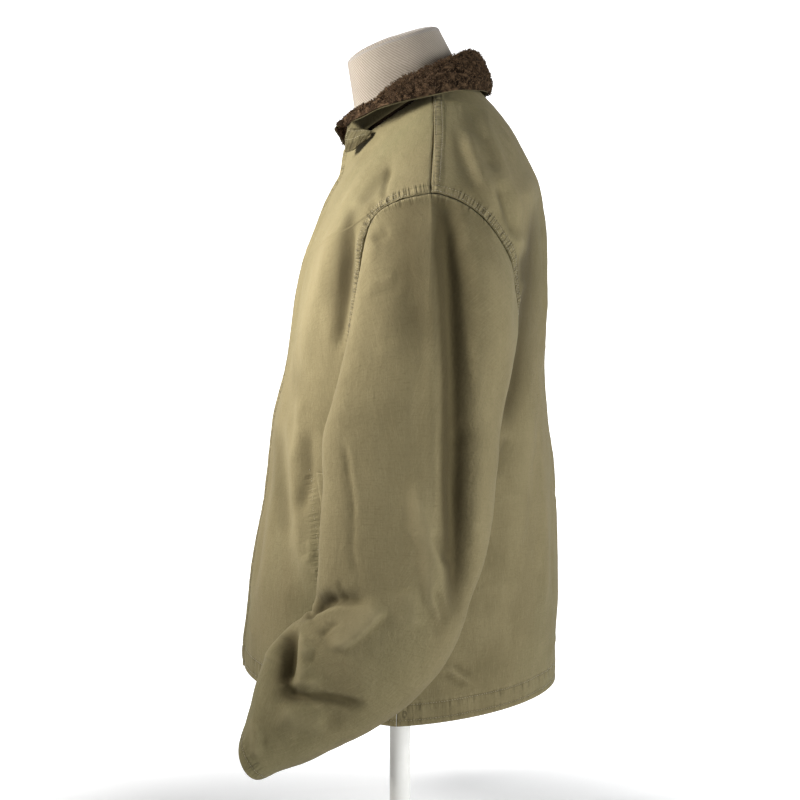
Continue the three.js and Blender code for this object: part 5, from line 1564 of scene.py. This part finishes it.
def tufts(count, seed):
    """Short hooked curls rooted in the pile's base."""
    rng = np.random.default_rng(seed)
    q = rng.uniform(-1, 1, count)
    w = rng.uniform(0.0, 1.0, count)
    p, n = collar_frame(q, w)
    edge = collar_edge(q, w)
    thick = (PILE - 2.6) * (0.35 + 0.65 * ease(edge / 7))
    curl = pile_curl(p)
    root = p + n * (thick + curl * ease(edge / 4) - 0.6)[..., None]
    side = unit(np.cross(n, rng.normal(size=(count, 3))))
    # neighbours lean the same way, so that the pile falls into clumps
    drift = xyz(noise(p, (7, 7, 7), 131), noise(p, (7, 7, 7), 132), noise(p, (7, 7, 7), 133))
    side = unit(side * 0.55 + drift * 1.3)
    side = unit(side - n * (side * n).sum(1, keepdims=True))
    long = rng.uniform(2.0, 3.6, count)[:, None]
    hook = rng.uniform(0.5, 1.5, count)[:, None]
    width = rng.uniform(0.4, 0.8, count)[:, None]
    across = np.cross(n, side)
    rings = []
    tone = []
    for k, (up, lean, r) in enumerate(((0, 0, 1.0), (0.5, 0.12, 0.95), (0.85, 0.5, 0.75), (0.75, 0.95, 0.2))):
        c = root + n * long * up + side * long * lean * hook * 0.7
        for a in range(3):
            t = a * 2 * math.pi / 3
            rings.append(c + (across * math.cos(t) + (side * (1 - up) + n * up) * math.sin(t)) * width * r)
            tone.append(np.full(count, (0.15, 0.5, 0.85, 1.0)[k]) * rng.uniform(0.75, 1.1, count))
    v = np.stack(rings, axis=1).reshape(-1, 3)
    tone = np.stack(tone, axis=1).reshape(-1)
    f = []
    for k in range(3):
        for a in range(3):
            b = (a + 1) % 3
            f.append([k * 3 + a, k * 3 + b, (k + 1) * 3 + b, (k + 1) * 3 + a])
    f = (np.array(f)[None] + (np.arange(count) * 12)[:, None, None]).reshape(-1, 4)
    return v, f, tone


# each curl's colour mask runs from dark at the root to light at the tip: painted shade down the curl
v, f, tone = tufts(10200, 41)
pile_tufts = dress(make_object("collar_pile_curls", v, f, wear_and_painted_shade=tone), PILE_CLOTH)
attach(pile_tufts, "pile")

# ------------------------------------------------------------------ throat tab
TAB_N = unit(np.array([0.62, -0.74, 0.26]))
TAB_DOWN = np.array([0.5, -0.1, -1.0])


def tab_surface(a, d, out):
    a, d = np.broadcast_arrays(np.asarray(a, float), np.asarray(d, float))
    base = xyz(column(TAB, "a", "x", a), column(TAB, "a", "y", a), column(TAB, "a", "z", a))
    p = base + TAB_DOWN * (column(TAB, "a", "drop", a) * d)[..., None]
    h = out + 1.5 * np.sin(np.pi * d)
    h = h + 0.5 * noise(p, (9, 9, 9), 141) - 0.9 * np.exp(-(((d - 0.66 - 0.08 * a) / 0.05) ** 2)) + 0.5 * ease((0.62 - d) / 0.06)
    return p + TAB_N * h[..., None]


a = np.concatenate([[0, 0.008, 0.02], np.linspace(0.05, 0.97, 30), [0.985, 1]])
d = np.concatenate([[0, 0.02, 0.05], np.linspace(0.1, 0.9, 22), [0.95, 0.98, 1]])
A, D = np.meshgrid(a, d, indexing="ij")
p = tab_surface(A, D, 2.4)
n = np.broadcast_to(TAB_N, p.shape)
edge = np.minimum(np.minimum(A, 1 - A) * 45, np.minimum(D, 1 - D) * 26)
line = np.exp(-((np.abs(edge - 3.4) / 0.8) ** 2)) * (D < 0.62)
# pale at the edges from wear, painted wrinkles, darker along the stitch line, and painted shade over the lower part of
# the tab
marks = np.stack([1.3 * np.exp(-((edge / 1.6) ** 2)), A * 7 + D * 2.5 + 40, 0.75 + 0 * A, -0.5 * line - 0.75 * ease((D - 0.6) / 0.1)], axis=-1)
tab = dress(cloth_shell("throat_tab_cloth", p, n, 2.3, wear_and_painted_shade=marks), SHADED_CLOTH)
attach(tab, "shell_cloth", "throat_tab")
lines = []
for dd in (0.14, 0.52):
    aa = np.linspace(0.08, 0.9, 40)
    lines.append((tab_surface(aa, np.full_like(aa, dd), 2.4), np.broadcast_to(TAB_N, (40, 3))))
dd = np.linspace(0.08, 0.6, 20)
lines.append((tab_surface(np.full_like(dd, 0.08), dd, 2.4), np.broadcast_to(TAB_N, (20, 3))))
v, f = stitches(lines, pitch=2.6, long=1.9, thread=0.42, seed=303)
tab_thread = attach(dress(make_object("stitches_tab", v, f), THREAD), "shell_cloth")

# ------------------------------------------------------------------ dress form
phis = np.linspace(0, 2 * math.pi, 145)[:-1]
ss = np.concatenate([np.linspace(0, 0.87, 90)[:-1], np.linspace(0.87, 1, 46)])
S, P = np.meshgrid(ss, phis, indexing="ij")
rings = ring_point(FORM, S, P)
last = rings[-1]
middle = np.array([0, -8.0, 994.0])
caps = []
for share, up in ((0.02, 1.6), (0.045, 2.8), (0.07, 3.6), (0.12, 4.9), (0.2, 6.2), (0.35, 7.4), (0.55, 8.3), (0.8, 8.9)):
    caps.append(last * (1 - share) + middle * share + np.array([0, 0, up]))
rings = np.concatenate([rings, np.stack(caps)])
rows, cols = rings.shape[:2]
verts = np.concatenate([rings.reshape(-1, 3), [[0, 0, 305.0]], [middle + np.array([0, 0, 9.0])]])
faces = grid_faces(rows, cols, True).tolist()
for j in range(cols):
    k = (j + 1) % cols
    faces.append([rows * cols, k, j])
    faces.append([rows * cols + 1, (rows - 1) * cols + j, (rows - 1) * cols + k])
girth = P * 62
u = np.concatenate([(P / (2 * math.pi) * 380).reshape(-1), np.repeat([P[0] / (2 * math.pi) * 380], 8, 0).reshape(-1), [0, 0]])
vv = np.concatenate([rings[:, :, 2].reshape(-1), [305, 1003]])
away = np.linalg.norm(verts - last[np.arange(len(verts)) % cols], axis=1)
form = dress(make_object("form_body_cloth", verts, faces, np.stack([u, vv], axis=-1) * MM, np.exp(-((away / 1.1) ** 2))), FORM_CLOTH)
attach(form, "form_cloth", "form_body")


def lathe(profile, steps=96):
    profile = np.array(profile, float)
    t = np.linspace(0, 2 * math.pi, steps + 1)[:-1]
    v = np.stack([profile[:, :1] * np.cos(t), profile[:, :1] * np.sin(t), np.repeat(profile[:, 1:], steps, 1)], axis=-1)
    return v.reshape(-1, 3), grid_faces(len(profile), steps, True)


def rounded(profile, r=1.0, steps=4):
    """A profile with its corners rounded."""
    pts = [np.array(p, float) for p in profile]
    out = [pts[0]]
    for a, b, c in zip(pts[:-2], pts[1:-1], pts[2:]):
        la, lc = np.linalg.norm(a - b), np.linalg.norm(c - b)
        k = min(r, la * 0.45, lc * 0.45)
        p0, p1 = b + (a - b) / la * k, b + (c - b) / lc * k
        for i in range(steps + 1):
            t = i / steps
            out.append(p0 * (1 - t) ** 2 + b * 2 * t * (1 - t) + p1 * t * t)
    return out + [pts[-1]]


v, f = lathe(rounded([(0.01, 6.3), (30, 6.3), (30, 12), (17, 18), (POLE_R, 36), (POLE_R, 290.6), (34, 296.6), (34, 304.6), (0.01, 304.6)], 1.4))
pole = attach(dress(make_object("stand_pole_detail", v, f), PAINT), "stand_paint", "stand_pole")
v, f = lathe(rounded([(0.01, 0), (PLATE_R - 2, 0), (PLATE_R, 2), (PLATE_R, 3), (PLATE_R - 3, 6), (0.01, 6)], 1.2), 160)
plate = attach(dress(make_object("stand_base_detail", v, f), PAINT), "stand_paint", "stand_base")

# ------------------------------------------------------------------ floor, light and camera
def stage_material(name, colour, near, far):
    """Pale paper that glows a little more the further it is from the object."""
    m = bpy.data.materials.new(name)
    m.use_nodes = True
    nt = m.node_tree
    b = nt.nodes["Principled BSDF"]
    b.inputs["Base Color"].default_value = (*colour, 1)
    b.inputs["Roughness"].default_value = 0.9
    b.inputs["Specular IOR Level"].default_value = 0.1
    b.inputs["Emission Color"].default_value = (1, 1, 1, 1)
    at = nt.nodes.new("ShaderNodeTexCoord").outputs["Object"]
    away = nt.nodes.new("ShaderNodeVectorMath")
    away.operation = "LENGTH"
    nt.links.new(at, away.inputs[0])
    glow = nt.nodes.new("ShaderNodeMapRange")
    glow.interpolation_type = "SMOOTHSTEP"
    for k, v in (("From Min", 0.3), ("From Max", 0.75), ("To Min", near), ("To Max", far)):
        glow.inputs[k].default_value = v
    nt.links.new(away.outputs["Value"], glow.inputs["Value"])
    nt.links.new(glow.outputs["Result"], b.inputs["Emission Strength"])
    return m


size = 9.0
me = bpy.data.meshes.new("floor")
me.from_pydata([(-size, -size, 0), (size, -size, 0), (size, size, 0), (-size, size, 0)], [], [(0, 1, 2, 3)])
floor = bpy.data.objects.new("floor", me)
bpy.context.scene.collection.objects.link(floor)
floor.data.materials.append(stage_material("pale floor", (0.86, 0.86, 0.86), 0.05, 0.95))
me = bpy.data.meshes.new("backdrop")
me.from_pydata([(-3.6, -4.5, 0), (-3.6, 4.5, 0), (-3.6, 4.5, 5), (-3.6, -4.5, 5)], [], [(0, 1, 2, 3)])
backdrop = bpy.data.objects.new("backdrop", me)
bpy.context.scene.collection.objects.link(backdrop)
backdrop.data.materials.append(stage_material("pale backdrop", (0.86, 0.86, 0.86), 0.6, 0.85))

world = bpy.data.worlds.new("studio")
bpy.context.scene.world = world
world.use_nodes = True
world.node_tree.nodes["Background"].inputs["Color"].default_value = (1, 1, 1, 1)
world.node_tree.nodes["Background"].inputs["Strength"].default_value = 0.09


def area_light(name, place_at, aim, size_x, size_y, watts, colour=(1, 1, 1), spread=180):
    data = bpy.data.lights.new(name, "AREA")
    data.shape = "RECTANGLE"
    data.size, data.size_y = size_x, size_y
    data.energy = watts
    data.spread = math.radians(spread)
    data.color = colour
    ob = bpy.data.objects.new(name, data)
    from mathutils import Vector

    ob.location = place_at
    ob.rotation_mode = "QUATERNION"
    ob.rotation_quaternion = (Vector(aim) - Vector(place_at)).to_track_quat("-Z", "Y")
    bpy.context.scene.collection.objects.link(ob)
    return ob


area_light("key", (0.32, -0.9, 1.12), (0.15, -0.1, 0.76), 0.45, 0.45, 8.2, (1.0, 0.985, 0.965), 77)
area_light("fill", (1.6, 2.2, 1.0), (0.2, 0.1, 0.55), 1.2, 1.2, 84, (0.97, 1.0, 1.03))

camera_data = bpy.data.cameras.new("camera")
camera = bpy.data.objects.new("camera", camera_data)
bpy.context.scene.collection.objects.link(camera)
camera.location = (VIEW_D * MM, 0, VIEW_Z * MM)
camera.rotation_euler = (math.radians(90 - 4.0239), 0, math.radians(90))
camera_data.sensor_width = 36.0
camera_data.lens = 83.16
camera_data.clip_start, camera_data.clip_end = 0.05, 60
bpy.context.scene.camera = camera
bpy.context.scene.view_settings.view_transform = "Standard"
